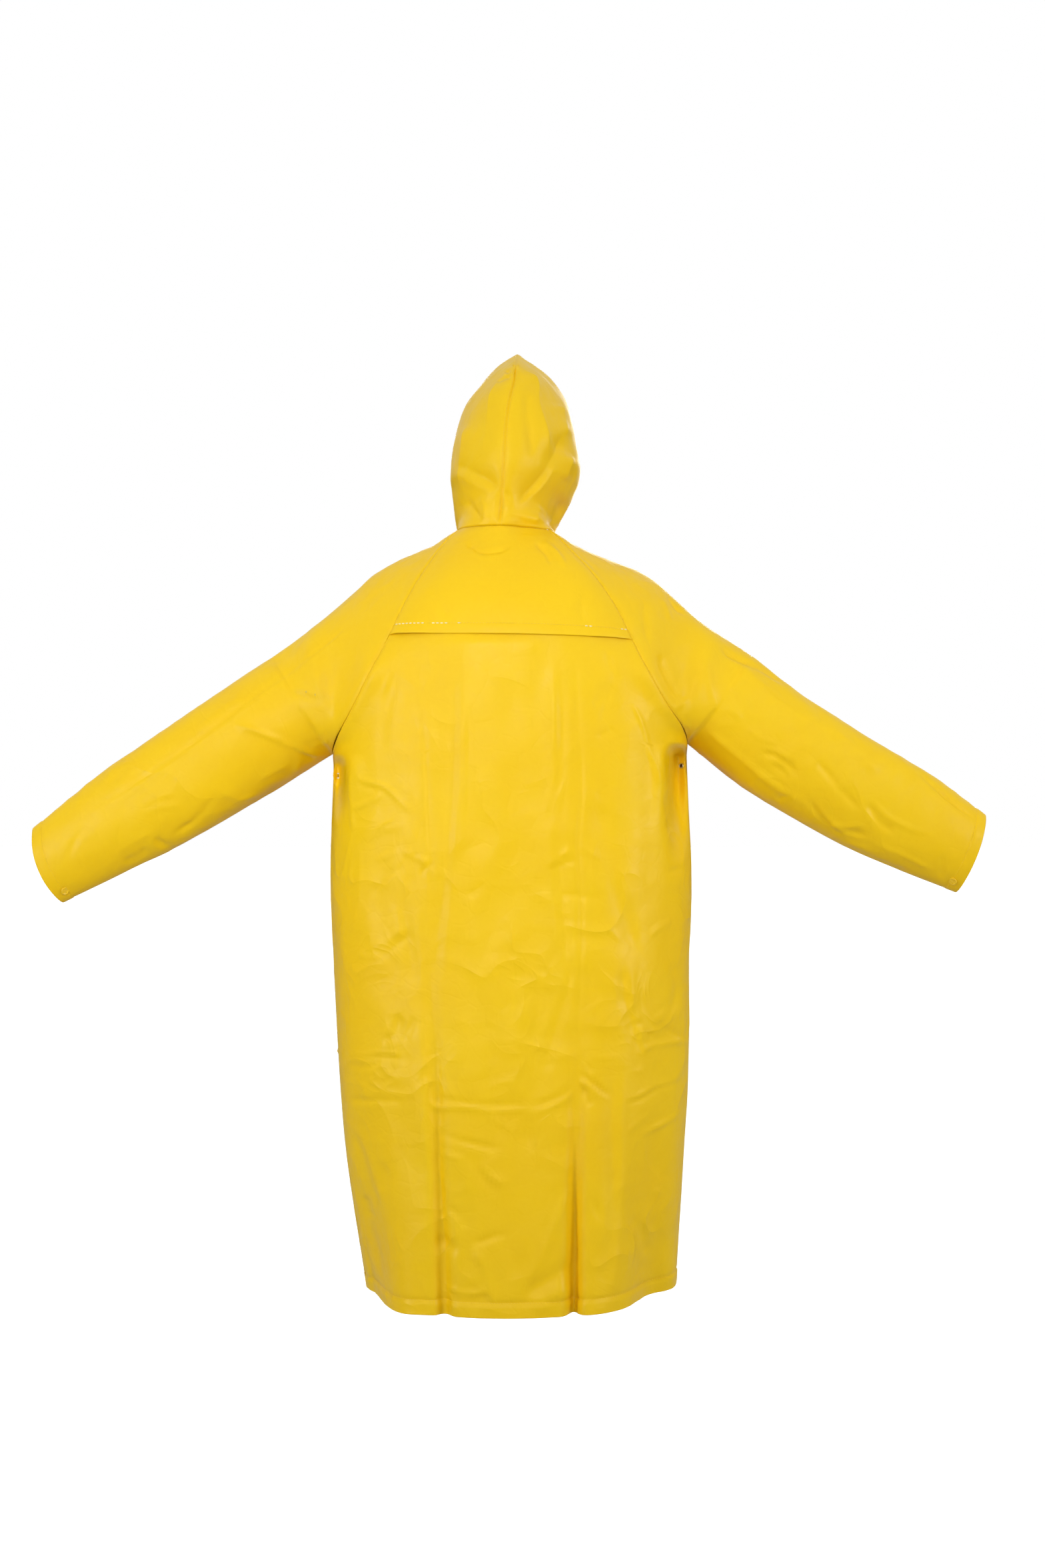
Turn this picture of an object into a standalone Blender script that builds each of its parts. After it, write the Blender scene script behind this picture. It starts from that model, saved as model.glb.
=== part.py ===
"""A hooded raincoat of coated cloth, hollow, in the form it has when worn.

Metres, +Z up. The coat's back faces -Y and its front +Y, so the wearer's right is +X. The origin is inside the neck,
where the wearer's shoulders hold the coat up. Each cut piece is a wall of its own: a grid of points on the coat's
outer surface, and the same points moved in. Where two pieces are sewn together they share the seam's points and the
direction in which the wall's thickness runs, and each stops half a seam gap short of the other.
"""

import math

import bmesh
import bpy
import numpy as np
from mathutils import Vector

# ---------------------------------------------------------------- sizes
WALL = 0.0018            # thickness of a cloth wall
SEAM_GAP = 0.0003        # between two pieces that touch
TUCK = 0.0032            # how far a covered layer lies inside the layer over it
FLAP_LIFT = 0.0045       # how far the yoke's free edge stands off the back
FRONT_LAP = 0.038        # each front reaches this far past the centre, and the under one is tucked in there
HOOD_END = 0.045         # the hood's front edges start this far from the centre
HEM_SIDE_ROWS = 14       # rows of the body from hem to underarm
RAGLAN_ROWS = 12         # rows from underarm to neck
CORNER_ROWS = 3          # raglan rows over which the wall turns from the underarm into the body's own direction
YOKE_ROW = 6             # raglan row on which the yoke's free edge lies
BACK_TOP_ROW = 9         # raglan row on which the back ends, under the yoke
BACK_COLUMNS = 32
YOKE_COLUMNS = 16
FRONT_COLUMNS = 8        # from seam to hood end, and 4 more to the lapped edge
LAP_COLUMNS = 4
SLEEVE_ROWS = 10         # rows from cuff to underarm
HALF_SLEEVE_COLUMNS = 6
HOOD_ROWS = 10

FRONT_SNAP_ROWS = (25.2, 17.9, 12.74, 9.88, 7.0)    # 165 mm apart down the centre of the lap
SNAP_RADIUS = 0.0062
SNAP_HEIGHT = 0.0026
SNAP_STEPS = 20
CUFF_SNAP_PLACE = (0.35, 1.2)    # sleeve row and column: on the back of the underside, by the cuff's edge
EYELET_RADIUS = 0.0035
EYELET_WIRE = 0.0009
EYELET_STEPS = 16
EYELET_COLUMN = 1.4      # back columns from the side seam
EYELET_ROW_DROP = 0.55   # body rows below the underarm

YELLOW = (0.90, 0.60, 0.020, 1.0)
SNAP_YELLOW = (0.86, 0.55, 0.018, 1.0)
NICKEL = (0.62, 0.60, 0.56, 1.0)


def table(columns, *rows):
    """Rows of numbers, read by column name."""
    values = np.array(rows, dtype=float)
    return {name: values[:, i] for i, name in enumerate(columns.split())}


# Level sections of the body. corner is the exponent of the section's oval: 2 is an ellipse, more is squarer.
BODY = table(
    "z       left    right   back   front  corner",
    (-1.120, -0.215, 0.248, 0.199, 0.188, 2.3),
    (-1.070, -0.223, 0.251, 0.196, 0.186, 2.3),
    (-0.990, -0.236, 0.256, 0.191, 0.182, 2.35),
    (-0.910, -0.247, 0.261, 0.187, 0.178, 2.35),
    (-0.830, -0.254, 0.266, 0.183, 0.174, 2.4),
    (-0.750, -0.259, 0.268, 0.179, 0.170, 2.4),
    (-0.630, -0.265, 0.268, 0.174, 0.165, 2.4),
    (-0.510, -0.270, 0.269, 0.172, 0.160, 2.4),
    (-0.410, -0.268, 0.267, 0.172, 0.157, 2.4),
    (-0.310, -0.266, 0.265, 0.173, 0.154, 2.4),
    (-0.250, -0.262, 0.262, 0.173, 0.152, 2.4),
    (-0.190, -0.250, 0.250, 0.172, 0.149, 2.4),
    (-0.150, -0.235, 0.235, 0.169, 0.146, 2.4),
    (-0.095, -0.200, 0.200, 0.155, 0.139, 2.4),
    (-0.045, -0.155, 0.155, 0.125, 0.120, 2.4),
    (-0.017, -0.125, 0.119, 0.103, 0.104, 2.3),
    (0.012, -0.080, 0.065, 0.075, 0.082, 2.2),
)

# The front neck lies lower than the back neck: how far the front centre drops at each height.
FRONT_DROP = table(
    "z       drop",
    (-0.310, 0.0),
    (-0.190, 0.006),
    (-0.095, 0.022),
    (-0.045, 0.038),
    (0.012, 0.060),
)

# Raglan seams from underarm to neck. Shares are of the body's half width, so 1 is the side seam.
RAGLAN = table(
    "z_left  z_right back_left back_right front_left front_right",
    (-0.321, -0.305, 1.000, 1.000, 1.000, 1.000),
    (-0.293, -0.279, 0.949, 0.951, 0.955, 0.955),
    (-0.252, -0.246, 0.870, 0.866, 0.885, 0.885),
    (-0.196, -0.198, 0.790, 0.783, 0.810, 0.810),
    (-0.150, -0.153, 0.745, 0.740, 0.765, 0.765),
    (-0.098, -0.101, 0.745, 0.728, 0.745, 0.745),
    (-0.050, -0.054, 0.775, 0.705, 0.740, 0.740),
    (-0.018, -0.022, 0.810, 0.700, 0.750, 0.750),
    (0.012, 0.010, 0.920, 0.830, 0.800, 0.800),
)

# Sleeves from cuff to underarm: the fold line along the top, the underarm seam, and half the depth of the tube.
SLEEVE = {
    "left": table(
        "top_x   top_z   under_x under_z depth",
        (-0.716, -0.430, -0.670, -0.543, 0.034),
        (-0.645, -0.373, -0.590, -0.504, 0.045),
        (-0.573, -0.319, -0.509, -0.464, 0.053),
        (-0.503, -0.273, -0.428, -0.420, 0.060),
        (-0.431, -0.226, -0.347, -0.370, 0.067),
        (-0.360, -0.177, -0.266, -0.321, 0.072),
    ),
    "right": table(
        "top_x   top_z   under_x under_z depth",
        (0.711, -0.413, 0.667, -0.528, 0.034),
        (0.645, -0.366, 0.588, -0.497, 0.045),
        (0.573, -0.319, 0.508, -0.463, 0.053),
        (0.503, -0.274, 0.427, -0.419, 0.060),
        (0.433, -0.229, 0.346, -0.369, 0.067),
        (0.363, -0.177, 0.2645, -0.305, 0.072),
    ),
}

# The shoulder line that carries each sleeve's top from there to the neck.
SHOULDER = table(
    "left_x  left_z  right_x right_z",
    (-0.360, -0.177, 0.363, -0.177),
    (-0.295, -0.130, 0.296, -0.130),
    (-0.243, -0.090, 0.249, -0.090),
    (-0.204, -0.055, 0.204, -0.055),
    (-0.163, -0.031, 0.150, -0.034),
    (-0.113, -0.010, 0.094, -0.012),
    (-0.080, 0.012, 0.065, 0.012),
)

# Level rows of the hood, from just over the neck seam to the ridge. seam_x, back_y and back_z are on the centre seam,
# left_x and right_x the row's greatest reach, front_y and front_z its end at the face. The last three are shares of
# the reach that shape the row: how full it is at the back and at the side, and how wide at the face.
HOOD = table(
    "seam_x back_y  back_z left_x  right_x front_y front_z back_full side_full front_full",
    (-0.012, -0.090, 0.058, -0.086, 0.073, 0.098, 0.015, 0.70, 1.22, 0.85),
    (-0.009, -0.098, 0.110, -0.091, 0.104, 0.108, 0.090, 0.70, 1.22, 0.88),
    (-0.006, -0.092, 0.158, -0.086, 0.100, 0.115, 0.160, 0.66, 1.20, 0.90),
    (-0.001, -0.076, 0.198, -0.072, 0.092, 0.120, 0.215, 0.60, 1.10, 0.96),
    (0.005, -0.056, 0.228, -0.046, 0.068, 0.122, 0.255, 0.52, 0.98, 1.00),
    (0.007, -0.040, 0.246, -0.019, 0.040, 0.121, 0.284, 0.45, 0.82, 1.00),
    (0.008, -0.026, 0.258, 0.010, 0.010, 0.118, 0.303, 0.33, 0.67, 1.00),
)

# Long folds that run down to the hem as troughs, and one lobe, with a depth below 0. side is -1 on the back and 1 on
# the front.
FOLDS = table(
    "side  top_x   hem_x   top_z   hem_depth width",
    (-1, -0.125, -0.093, -0.420, 0.032, 0.026),
    (-1, 0.102, 0.090, -0.620, 0.062, 0.024),
    (-1, 0.208, 0.204, -0.760, 0.050, 0.034),
    (-1, -0.225, -0.206, -0.760, 0.042, 0.026),
    (-1, -0.155, -0.152, -0.850, -0.014, 0.026),
    (1, -0.120, -0.105, -0.480, 0.034, 0.028),
    (1, 0.125, 0.115, -0.520, 0.038, 0.028),
)
FOLD_GROWTH = 1.7        # a fold deepens towards the hem with this power
HEM_RISE = 0.010         # how much higher the hem is at the right side than at the left
CUFF_BOW = {"left": 0.010, "right": 0.004}    # how far a cuff's edge bows out between its top and its underside
CUFF_FADE = {0: 1.0, 1: 0.3}    # how much of the bow the first two sleeve rows have
CAP_REACH = 0.38         # a cap row's handle as a share of its reach
CAP_ROWS = 5             # cap rows over which the tube's depth gives way to the cap's own
ARMHOLE_SQUARE = 0.22    # how much squarer than an oval the sleeve is at the armhole, on the side of its seam
SQUARE_ROWS = 2.5        # sleeve rows over which that fades


# ---------------------------------------------------------------- curves and surfaces
def curve(knots, values, at):
    """The smooth curve through values at knots, read at the places given."""
    knots = np.asarray(knots, dtype=float)
    values = np.asarray(values, dtype=float)
    at = np.asarray(at, dtype=float)
    slopes = np.gradient(values, knots, axis=0)
    i = np.clip(np.searchsorted(knots, at, side="right") - 1, 0, len(knots) - 2)
    step = knots[i + 1] - knots[i]
    t = np.clip((at - knots[i]) / step, 0.0, 1.0)
    extra = (1,) * (values.ndim - 1)
    t = t.reshape(t.shape + extra)
    step = step.reshape(step.shape + extra)
    return (
        (1 + 2 * t) * (1 - t) ** 2 * values[i]
        + t * (1 - t) ** 2 * step * slopes[i]
        + t * t * (3 - 2 * t) * values[i + 1]
        + t * t * (t - 1) * step * slopes[i + 1]
    )


def rows_between(points, count):
    """count + 1 points or rows spread evenly over a smooth loft through the ones given."""
    return curve(np.arange(len(points)), points, np.linspace(0, len(points) - 1, count + 1))


def unit(vectors):
    return vectors / np.linalg.norm(vectors, axis=-1, keepdims=True)


def bezier(start, start_handle, end_handle, end, count):
    """count + 1 points of a cubic from start to end."""
    t = np.linspace(0, 1, count + 1)[:, None]
    return (
        (1 - t) ** 3 * start
        + 3 * (1 - t) ** 2 * t * start_handle
        + 3 * (1 - t) * t * t * end_handle
        + t**3 * end
    )


def body_column(name, z):
    return curve(BODY["z"], BODY[name], np.clip(z, BODY["z"][0], BODY["z"][-1]))


def fold_depth(x, z, side):
    """How far the long folds push the body's wall in at x and z."""
    depth = np.zeros(np.broadcast(x, z).shape)
    for i in range(len(FOLDS["side"])):
        if FOLDS["side"][i] != side:
            continue
        grown = np.clip((FOLDS["top_z"][i] - z) / (FOLDS["top_z"][i] - BODY["z"][0]), 0, 1)
        centre = FOLDS["top_x"][i] + (FOLDS["hem_x"][i] - FOLDS["top_x"][i]) * grown
        across = (x - centre) / FOLDS["width"][i]
        depth = depth + FOLDS["hem_depth"][i] * grown**FOLD_GROWTH * np.exp(-across * across)
    return depth


def body_point(z, share, side):
    """Points of the body's outer surface. share runs from -1 at the left side seam to 1 at the right, and side is -1
    on the back and 1 on the front."""
    z = np.asarray(z, dtype=float)
    left = body_column("left", z)
    right = body_column("right", z)
    corner = body_column("corner", z)
    depth = body_column("back" if side < 0 else "front", z)
    x = (left + right) / 2 + (right - left) / 2 * share
    bulge = np.clip(1 - np.abs(share) ** corner, 0, 1) ** (1 / corner)
    y = side * depth * bulge
    y = y - side * fold_depth(x, z, side) * np.minimum(1, 2.5 * bulge)
    if side > 0:
        drop = curve(FRONT_DROP["z"], FRONT_DROP["drop"], np.clip(z, FRONT_DROP["z"][0], FRONT_DROP["z"][-1]))
        z = z - drop * bulge * bulge
    return np.stack(np.broadcast_arrays(x, y, z), axis=-1)


def body_inward(z, share, side):
    """The direction into the body's wall at those points."""
    small = 0.004
    inner_share = np.clip(share, -0.985, 0.985)
    across = body_point(z, inner_share + small, side) - body_point(z, inner_share - small, side)
    up = body_point(np.asarray(z) + small, inner_share, side) - body_point(np.asarray(z) - small, inner_share, side)
    inward = unit(np.cross(across, up)) * side
    at_side = (np.abs(share) > 0.9999)[..., None]
    straight_in = np.stack(np.broadcast_arrays(-np.sign(share), np.zeros_like(share), np.zeros_like(share)), -1)
    return np.where(at_side, straight_in, inward)


def even_shares(first, last, corner, count):
    """Shares from first to last, closer together where the section turns."""
    turn = np.linspace(math.acos(np.sign(first) * abs(first) ** (corner / 2)),
                       math.acos(np.sign(last) * abs(last) ** (corner / 2)), count + 1)
    return np.sign(np.cos(turn)) * np.abs(np.cos(turn)) ** (2 / corner)


# ---------------------------------------------------------------- seam lines
def seam_rows():
    """Heights and shares of the body's rows at the side and raglan seams, from hem to neck."""
    body = np.linspace(0, 1, HEM_SIDE_ROWS + 1)
    names = ("z_left", "z_right", "back_left", "back_right", "front_left", "front_right")
    raglan = {name: rows_between(RAGLAN[name], RAGLAN_ROWS) for name in names}
    hem_left = BODY["z"][0]
    hem_right = BODY["z"][0] + HEM_RISE
    rows = {
        "z_left": hem_left + (RAGLAN["z_left"][0] - hem_left) * body,
        "z_right": hem_right + (RAGLAN["z_right"][0] - hem_right) * body,
    }
    for name in names:
        lower = rows.get(name, np.ones(HEM_SIDE_ROWS + 1))
        rows[name] = np.concatenate([lower, raglan[name][1:]])
    return rows


ROWS = seam_rows()
UNDERARM = HEM_SIDE_ROWS
NECK = HEM_SIDE_ROWS + RAGLAN_ROWS


def row_height(row, share):
    """Height of a body row: the right side's rows lie a little higher than the left's."""
    weight = ((1 + share) / 2) ** 3
    return ROWS["z_left"][row] + (ROWS["z_right"][row] - ROWS["z_left"][row]) * weight


def body_row(row, shares, side):
    """Points and inward directions of one body row."""
    heights = row_height(row, shares)
    return body_point(heights, shares, side), body_inward(heights, shares, side)


def neck_inward(points):
    """At the neck seam the wall's thickness runs between the body's slope and the hood's upright wall."""
    centre = np.array([-0.006, 0.004])
    flat = unit(points[..., :2] - centre)
    lean = math.radians(24)
    return np.concatenate([-flat * math.cos(lean), np.full(flat.shape[:-1] + (1,), -math.sin(lean))], axis=-1)


def underarm_inward(side):
    """At the point where sides, raglan seams and underarm seam meet, one direction serves every piece."""
    outward = -1 if side == "left" else 1
    return unit(np.array([-outward * 0.75, 0.0, 0.66]))


def seam_line(row, side, face):
    """Point and inward direction of one side or raglan seam at a body row."""
    sign = -1 if side == "left" else 1
    name = ("back_" if face < 0 else "front_") + side
    share = np.array([sign * ROWS[name][row]])
    points, inward = body_row(row, share, face)
    if row == NECK:
        return points[0], neck_inward(points)[0]
    if UNDERARM <= row < UNDERARM + CORNER_ROWS:
        turned_in = (row - UNDERARM) / CORNER_ROWS
        return points[0], unit((1 - turned_in) * underarm_inward(side) + turned_in * inward[0])
    return points[0], inward[0]


# ---------------------------------------------------------------- cloth walls
def shift_from_seam(edge, neighbour, step):
    """Steps at right angles from a seam into the piece."""
    along = unit(np.gradient(edge, axis=0))
    into = neighbour - edge
    into = into - along * np.sum(into * along, axis=-1, keepdims=True)
    return unit(into) * step


def edge_slices(sheet):
    """The four edges of a grid with the line of points next to each."""
    return {
        "bottom": (sheet[0], sheet[1]),
        "top": (sheet[-1], sheet[-2]),
        "start": (sheet[:, 0], sheet[:, 1]),
        "end": (sheet[:, -1], sheet[:, -2]),
    }


def wall(name, sheet, inward, material, sewn):
    """One cloth piece: a grid of outer points, and the same points moved in by the wall's thickness."""
    outer = sheet.copy()
    moving = edge_slices(outer)
    for edge in sewn:
        line, neighbour = edge_slices(sheet)[edge]
        step = shift_from_seam(line, neighbour, SEAM_GAP / 2)
        step[0] = step[1]
        step[-1] = step[-2]
        moving[edge][0][...] += step
    inner = outer + inward * WALL
    rows, columns = outer.shape[:2]
    mesh = bmesh.new()
    layers = []
    for layer in (outer, inner):
        layers.append([[mesh.verts.new(layer[r, c]) for c in range(columns)] for r in range(rows)])
    out, into = layers
    for r in range(rows - 1):
        for c in range(columns - 1):
            mesh.faces.new((out[r][c], out[r][c + 1], out[r + 1][c + 1], out[r + 1][c]))
            mesh.faces.new((into[r][c], into[r + 1][c], into[r + 1][c + 1], into[r][c + 1]))
    rim = [(0, c) for c in range(columns)]
    rim += [(r, columns - 1) for r in range(1, rows)]
    rim += [(rows - 1, c) for c in range(columns - 2, -1, -1)]
    rim += [(r, 0) for r in range(rows - 2, 0, -1)]
    for (r0, c0), (r1, c1) in zip(rim, rim[1:] + rim[:1]):
        mesh.faces.new((out[r1][c1], out[r0][c0], into[r0][c0], into[r1][c1]))
    bmesh.ops.recalc_face_normals(mesh, faces=mesh.faces)
    data = bpy.data.meshes.new(name)
    mesh.to_mesh(data)
    mesh.free()
    data.shade_smooth()
    data.set_sharp_from_angle(angle=math.radians(40))
    return add_piece(name, data, material)


def grid_inward(sheet):
    """Inward directions of a grid from its own slopes, pointing to the middle of its rows."""
    along = np.gradient(sheet, axis=1)
    up = np.gradient(sheet, axis=0)
    normal = unit(np.cross(along, up))
    to_middle = sheet.mean(axis=1, keepdims=True) - sheet
    return normal * np.sign(np.sum(normal * to_middle))


def add_piece(name, data, material):
    piece = bpy.data.objects.new(name, data)
    COLLECTION.objects.link(piece)
    data.materials.append(material)
    return piece


def plain_material(name, colour, roughness, metallic=0.0):
    material = bpy.data.materials.new(name)
    material.use_nodes = True
    shader = material.node_tree.nodes["Principled BSDF"]
    shader.inputs["Base Color"].default_value = colour
    shader.inputs["Roughness"].default_value = roughness
    shader.inputs["Metallic"].default_value = metallic
    return material


# ---------------------------------------------------------------- body pieces
def span_rows(rows, columns, face, corner_at):
    """A grid of body rows between the left and the right seam, with each seam's own inward directions."""
    sheet = []
    inward = []
    for row in rows:
        name = "back_" if face < 0 else "front_"
        corner = body_column("corner", corner_at(row))
        shares = even_shares(-ROWS[name + "left"][row], ROWS[name + "right"][row], corner, columns)
        points, directions = body_row(row, shares, face)
        for index, side in ((0, "left"), (-1, "right")):
            points[index], directions[index] = seam_line(row, side, face)
        if row == NECK:
            directions = neck_inward(points)
        sheet.append(points)
        inward.append(directions)
    return np.array(sheet), np.array(inward)


def row_middle_height(row):
    return float(row_height(row, 0.0))


def back_panel(material):
    """The back: on the body's surface up to the yoke's edge, then inside it."""
    top = UNDERARM + BACK_TOP_ROW
    sheet, inward = span_rows(range(top + 1), BACK_COLUMNS, -1, row_middle_height)
    tuck = np.zeros(top + 1)
    tuck[UNDERARM + YOKE_ROW:] = TUCK
    sheet = sheet + inward * tuck[:, None, None]
    return wall("back_panel", sheet, inward, material, ("start", "end"))


def yoke_sheet():
    rows = range(UNDERARM + YOKE_ROW, NECK + 1)
    return span_rows(rows, YOKE_COLUMNS, -1, row_middle_height)


def back_yoke(material):
    """The yoke: sewn at neck and raglan seams, with its lower edge standing a little off the back."""
    sheet, inward = yoke_sheet()
    rows, columns = sheet.shape[:2]
    up = np.linspace(1, 0, rows)[:, None] ** 2
    across = np.linspace(-1, 1, columns)[None, :]
    gape = 1 - across**8 + 0.9 * np.exp(-((np.abs(across) - 0.62) / 0.16) ** 2)
    lift = FLAP_LIFT * up * gape
    lift[:, 0] = 0
    lift[:, -1] = 0
    sheet = sheet - inward * lift[..., None]
    return wall("back_yoke", sheet, inward, material, ("start", "end", "top"))


def front_share_rows(side, row):
    """Shares across one front: from its seam to the hood's end, then on past the centre."""
    sign = -1 if side == "left" else 1
    height = row_middle_height(row)
    half = float(body_column("right", height) - body_column("left", height)) / 2
    middle = float(body_column("right", height) + body_column("left", height)) / 2
    seam = ROWS["front_" + side][row]
    hood_end = HOOD_END / half
    lap = FRONT_LAP / half
    corner = float(body_column("corner", height))
    first = even_shares(seam, hood_end, corner, FRONT_COLUMNS)
    rest = np.linspace(lap, -lap, LAP_COLUMNS)
    centre_shift = -middle / half
    return sign * np.concatenate([first, rest]) + centre_shift * np.concatenate(
        [np.linspace(0, 1, FRONT_COLUMNS + 1), np.ones(LAP_COLUMNS)]
    )


def front_sheet(side):
    sheet = []
    inward = []
    for row in range(NECK + 1):
        shares = front_share_rows(side, row)
        points, directions = body_row(row, shares, 1)
        points[0], directions[0] = seam_line(row, side, 1)
        if row == NECK:
            directions = neck_inward(points)
        sheet.append(points)
        inward.append(directions)
    return np.array(sheet), np.array(inward)


def front_panel(side, material):
    """One front. The left one lies on the body's surface at the centre, and the right one just inside it."""
    sheet, inward = front_sheet(side)
    if side == "right":
        tuck = np.zeros(sheet.shape[1])
        tuck[FRONT_COLUMNS + 1:] = TUCK
        sheet = sheet + inward * tuck[None, :, None]
    return wall("front_" + side, sheet, inward, material, ("start",)), sheet, inward


# ---------------------------------------------------------------- sleeves
def sleeve_tube_ends(side):
    """Top and underarm points of the sleeve's rows from cuff to underarm, and their half depths."""
    columns = SLEEVE[side]
    top = np.stack([columns["top_x"], np.zeros(6), columns["top_z"]], axis=-1)
    under = np.stack([columns["under_x"], np.zeros(6), columns["under_z"]], axis=-1)
    return (
        rows_between(top, SLEEVE_ROWS),
        rows_between(under, SLEEVE_ROWS),
        rows_between(columns["depth"], SLEEVE_ROWS),
    )


def shoulder_points(side):
    """Points of the shoulder line, evenly spaced from the armhole row to the neck."""
    points = np.stack([SHOULDER[side + "_x"], np.zeros(7), SHOULDER[side + "_z"]], axis=-1)
    fine = rows_between(points, 120)
    length = np.concatenate([[0], np.cumsum(np.linalg.norm(np.diff(fine, axis=0), axis=1))])
    at = np.linspace(0, length[-1], RAGLAN_ROWS + 1)
    return np.stack([np.interp(at, length, fine[:, k]) for k in range(3)], axis=-1)


def half_sleeve_row(start, direction, top, handle, face, rows_past_armhole, count):
    """Half a sleeve row, from its seam over the back or the front to the top line."""
    toward_face = np.array([0.0, face, 0.0])
    square = 1 + ARMHOLE_SQUARE * math.exp(-((rows_past_armhole / SQUARE_ROWS) ** 2))
    return bezier(start, start + direction * handle * square, top + toward_face * handle * (2 - square), top, count)


def cap_direction(point, inward, top, row, face):
    """The way a cap row leaves the raglan seam: on along the body's surface, and at the underarm straight back."""
    toward_top = top - point
    along_body = unit(toward_top - inward * np.dot(toward_top, inward))
    leave = np.interp(row, (0, 1, 2, 3, 4), (0.0, 0.3, 0.6, 0.85, 1.0))
    return unit((1 - leave) * np.array([0.0, face, 0.0]) + leave * along_body)


def cap_handle(point, direction, reach, tube_depth, row, face):
    """How far a cap row runs on before it turns to the top line. At the underarm the cap is as deep as the tube, and
    over the next rows it takes the depth of its own reach. A cubic's middle has 0.5 of its ends, 0.375 of a handle."""
    start_depth = 0.5 * face * point[1]
    per_handle = 0.375 * (1 + face * direction[1])
    own_depth = start_depth + per_handle * CAP_REACH * reach
    share = min(row / CAP_ROWS, 1.0)
    share = share * share * (3 - 2 * share)
    depth = tube_depth + (own_depth - tube_depth) * share
    return (depth - start_depth) / per_handle


def sleeve_sheet(side):
    """A sleeve as one grid: rows from cuff to neck, columns from the back seam over the top to the front seam."""
    count = HALF_SLEEVE_COLUMNS
    tops, unders, depths = sleeve_tube_ends(side)
    sheet = []
    edges = []
    for row, (top, under, depth) in enumerate(zip(tops[:-1], unders[:-1], depths[:-1])):
        halves = [
            half_sleeve_row(under, np.array([0.0, face, 0.0]), top, depth * 4 / 3, face, row - SLEEVE_ROWS, count)
            for face in (-1, 1)
        ]
        row_points = np.concatenate([halves[0], halves[1][-2::-1]])
        bow = CUFF_BOW[side] * np.sin(np.linspace(0, math.tau, 2 * count + 1)) ** 2 * CUFF_FADE.get(row, 0)
        sheet.append(row_points + bow[:, None] * unit(unders[0] - unders[-1]))
        upward = unit(top - under)
        edges.append((upward, upward))
    for row, top in enumerate(shoulder_points(side)):
        halves = []
        directions = []
        for face in (-1, 1):
            point, inward = seam_line(UNDERARM + row, side, face)
            reach = np.linalg.norm(top - point)
            surface_inward = body_inward_at_seam(UNDERARM + row, side, face)
            direction = cap_direction(point, surface_inward, top, row, face)
            handle = cap_handle(point, direction, reach, depths[-1], row, face)
            halves.append(half_sleeve_row(point, direction, top, handle, face, row, count))
            directions.append(inward)
        sheet.append(np.concatenate([halves[0], halves[1][-2::-1]]))
        edges.append(tuple(directions))
    sheet = np.array(sheet)
    inward = grid_inward(sheet)
    for row, (start, end) in enumerate(edges):
        inward[row, 0] = start
        inward[row, -1] = end
    inward[-1] = neck_inward(sheet[-1])
    return sheet, inward


def body_inward_at_seam(row, side, face):
    """The body's own inward direction on a raglan seam, also at its two ends."""
    sign = -1 if side == "left" else 1
    name = ("back_" if face < 0 else "front_") + side
    share = np.array([sign * ROWS[name][row]])
    return body_row(row, share, face)[1][0]


def sleeve(side, material):
    sheet, inward = sleeve_sheet(side)
    return wall("sleeve_" + side, sheet, inward, material, ("start", "end", "top")), sheet, inward


# ---------------------------------------------------------------- hood
def neck_line(side):
    """The neck seam from the back centre to the hood's end on one front, through the points of yoke, sleeve and
    front."""
    yoke = yoke_sheet()[0][-1]
    middle = YOKE_COLUMNS // 2
    half_yoke = yoke[middle::-1] if side == "left" else yoke[middle:]
    over_sleeve = sleeve_sheet(side)[0][-1]
    front = front_sheet(side)[0][-1][: FRONT_COLUMNS + 1]
    return np.concatenate([half_yoke, over_sleeve[1:], front[1:]])


def hood_sheet(side):
    """Half a hood: rows from the neck seam up to the ridge, columns from the centre seam to the face."""
    neck = neck_line(side)
    length = np.concatenate([[0], np.cumsum(np.linalg.norm(np.diff(neck, axis=0), axis=1))])
    shares = length / length[-1]
    rows = [neck]
    for i in range(len(HOOD["seam_x"])):
        seam_x = HOOD["seam_x"][i]
        reach = HOOD[side + "_x"][i] - seam_x
        back = np.array([seam_x, HOOD["back_y"][i], HOOD["back_z"][i]])
        front = np.array([seam_x + reach * HOOD["front_full"][i], HOOD["front_y"][i], HOOD["front_z"][i]])
        run = front - back
        start_handle = back + np.array([reach * HOOD["back_full"][i], run[1] * 0.06, run[2] * 0.2])
        end_handle = np.array([seam_x + reach * HOOD["side_full"][i], back[1] + run[1] * 0.5, back[2] + run[2] * 0.6])
        if i == len(HOOD["seam_x"]) - 1:
            start_handle = back + run * 0.33 + np.array([0.0, 0.0, 0.005])
            end_handle = back + run * 0.67 + np.array([0.0, 0.0, 0.003])
        fine = bezier(back, start_handle, end_handle, front, 200)
        rows.append(np.stack([np.interp(shares, np.linspace(0, 1, 201), fine[:, k]) for k in range(3)], axis=-1))
    return rows_between(np.array(rows), HOOD_ROWS)


def hood_inward(side, sheet):
    """Inward directions: shared with the other half at the centre seam, and with the coat at the neck."""
    inward = grid_inward(sheet)
    for line in ("back", "ridge"):
        seam = sheet[:, 0] if line == "back" else sheet[-1]
        along = np.gradient(seam, axis=0)
        down = unit(np.stack([np.zeros(len(seam)), along[:, 2], -along[:, 1]], axis=-1))
        if line == "back":
            inward[:, 0] = down
        else:
            inward[-1] = down
    corner = unit(inward[-1, 1] + inward[-2, 0])
    inward[-1, 0] = corner
    inward[0] = neck_inward(sheet[0])
    return inward


def hood(side, material):
    sheet = hood_sheet(side)
    return wall("hood_" + side, sheet, hood_inward(side, sheet), material, ("start", "top", "bottom"))


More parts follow.
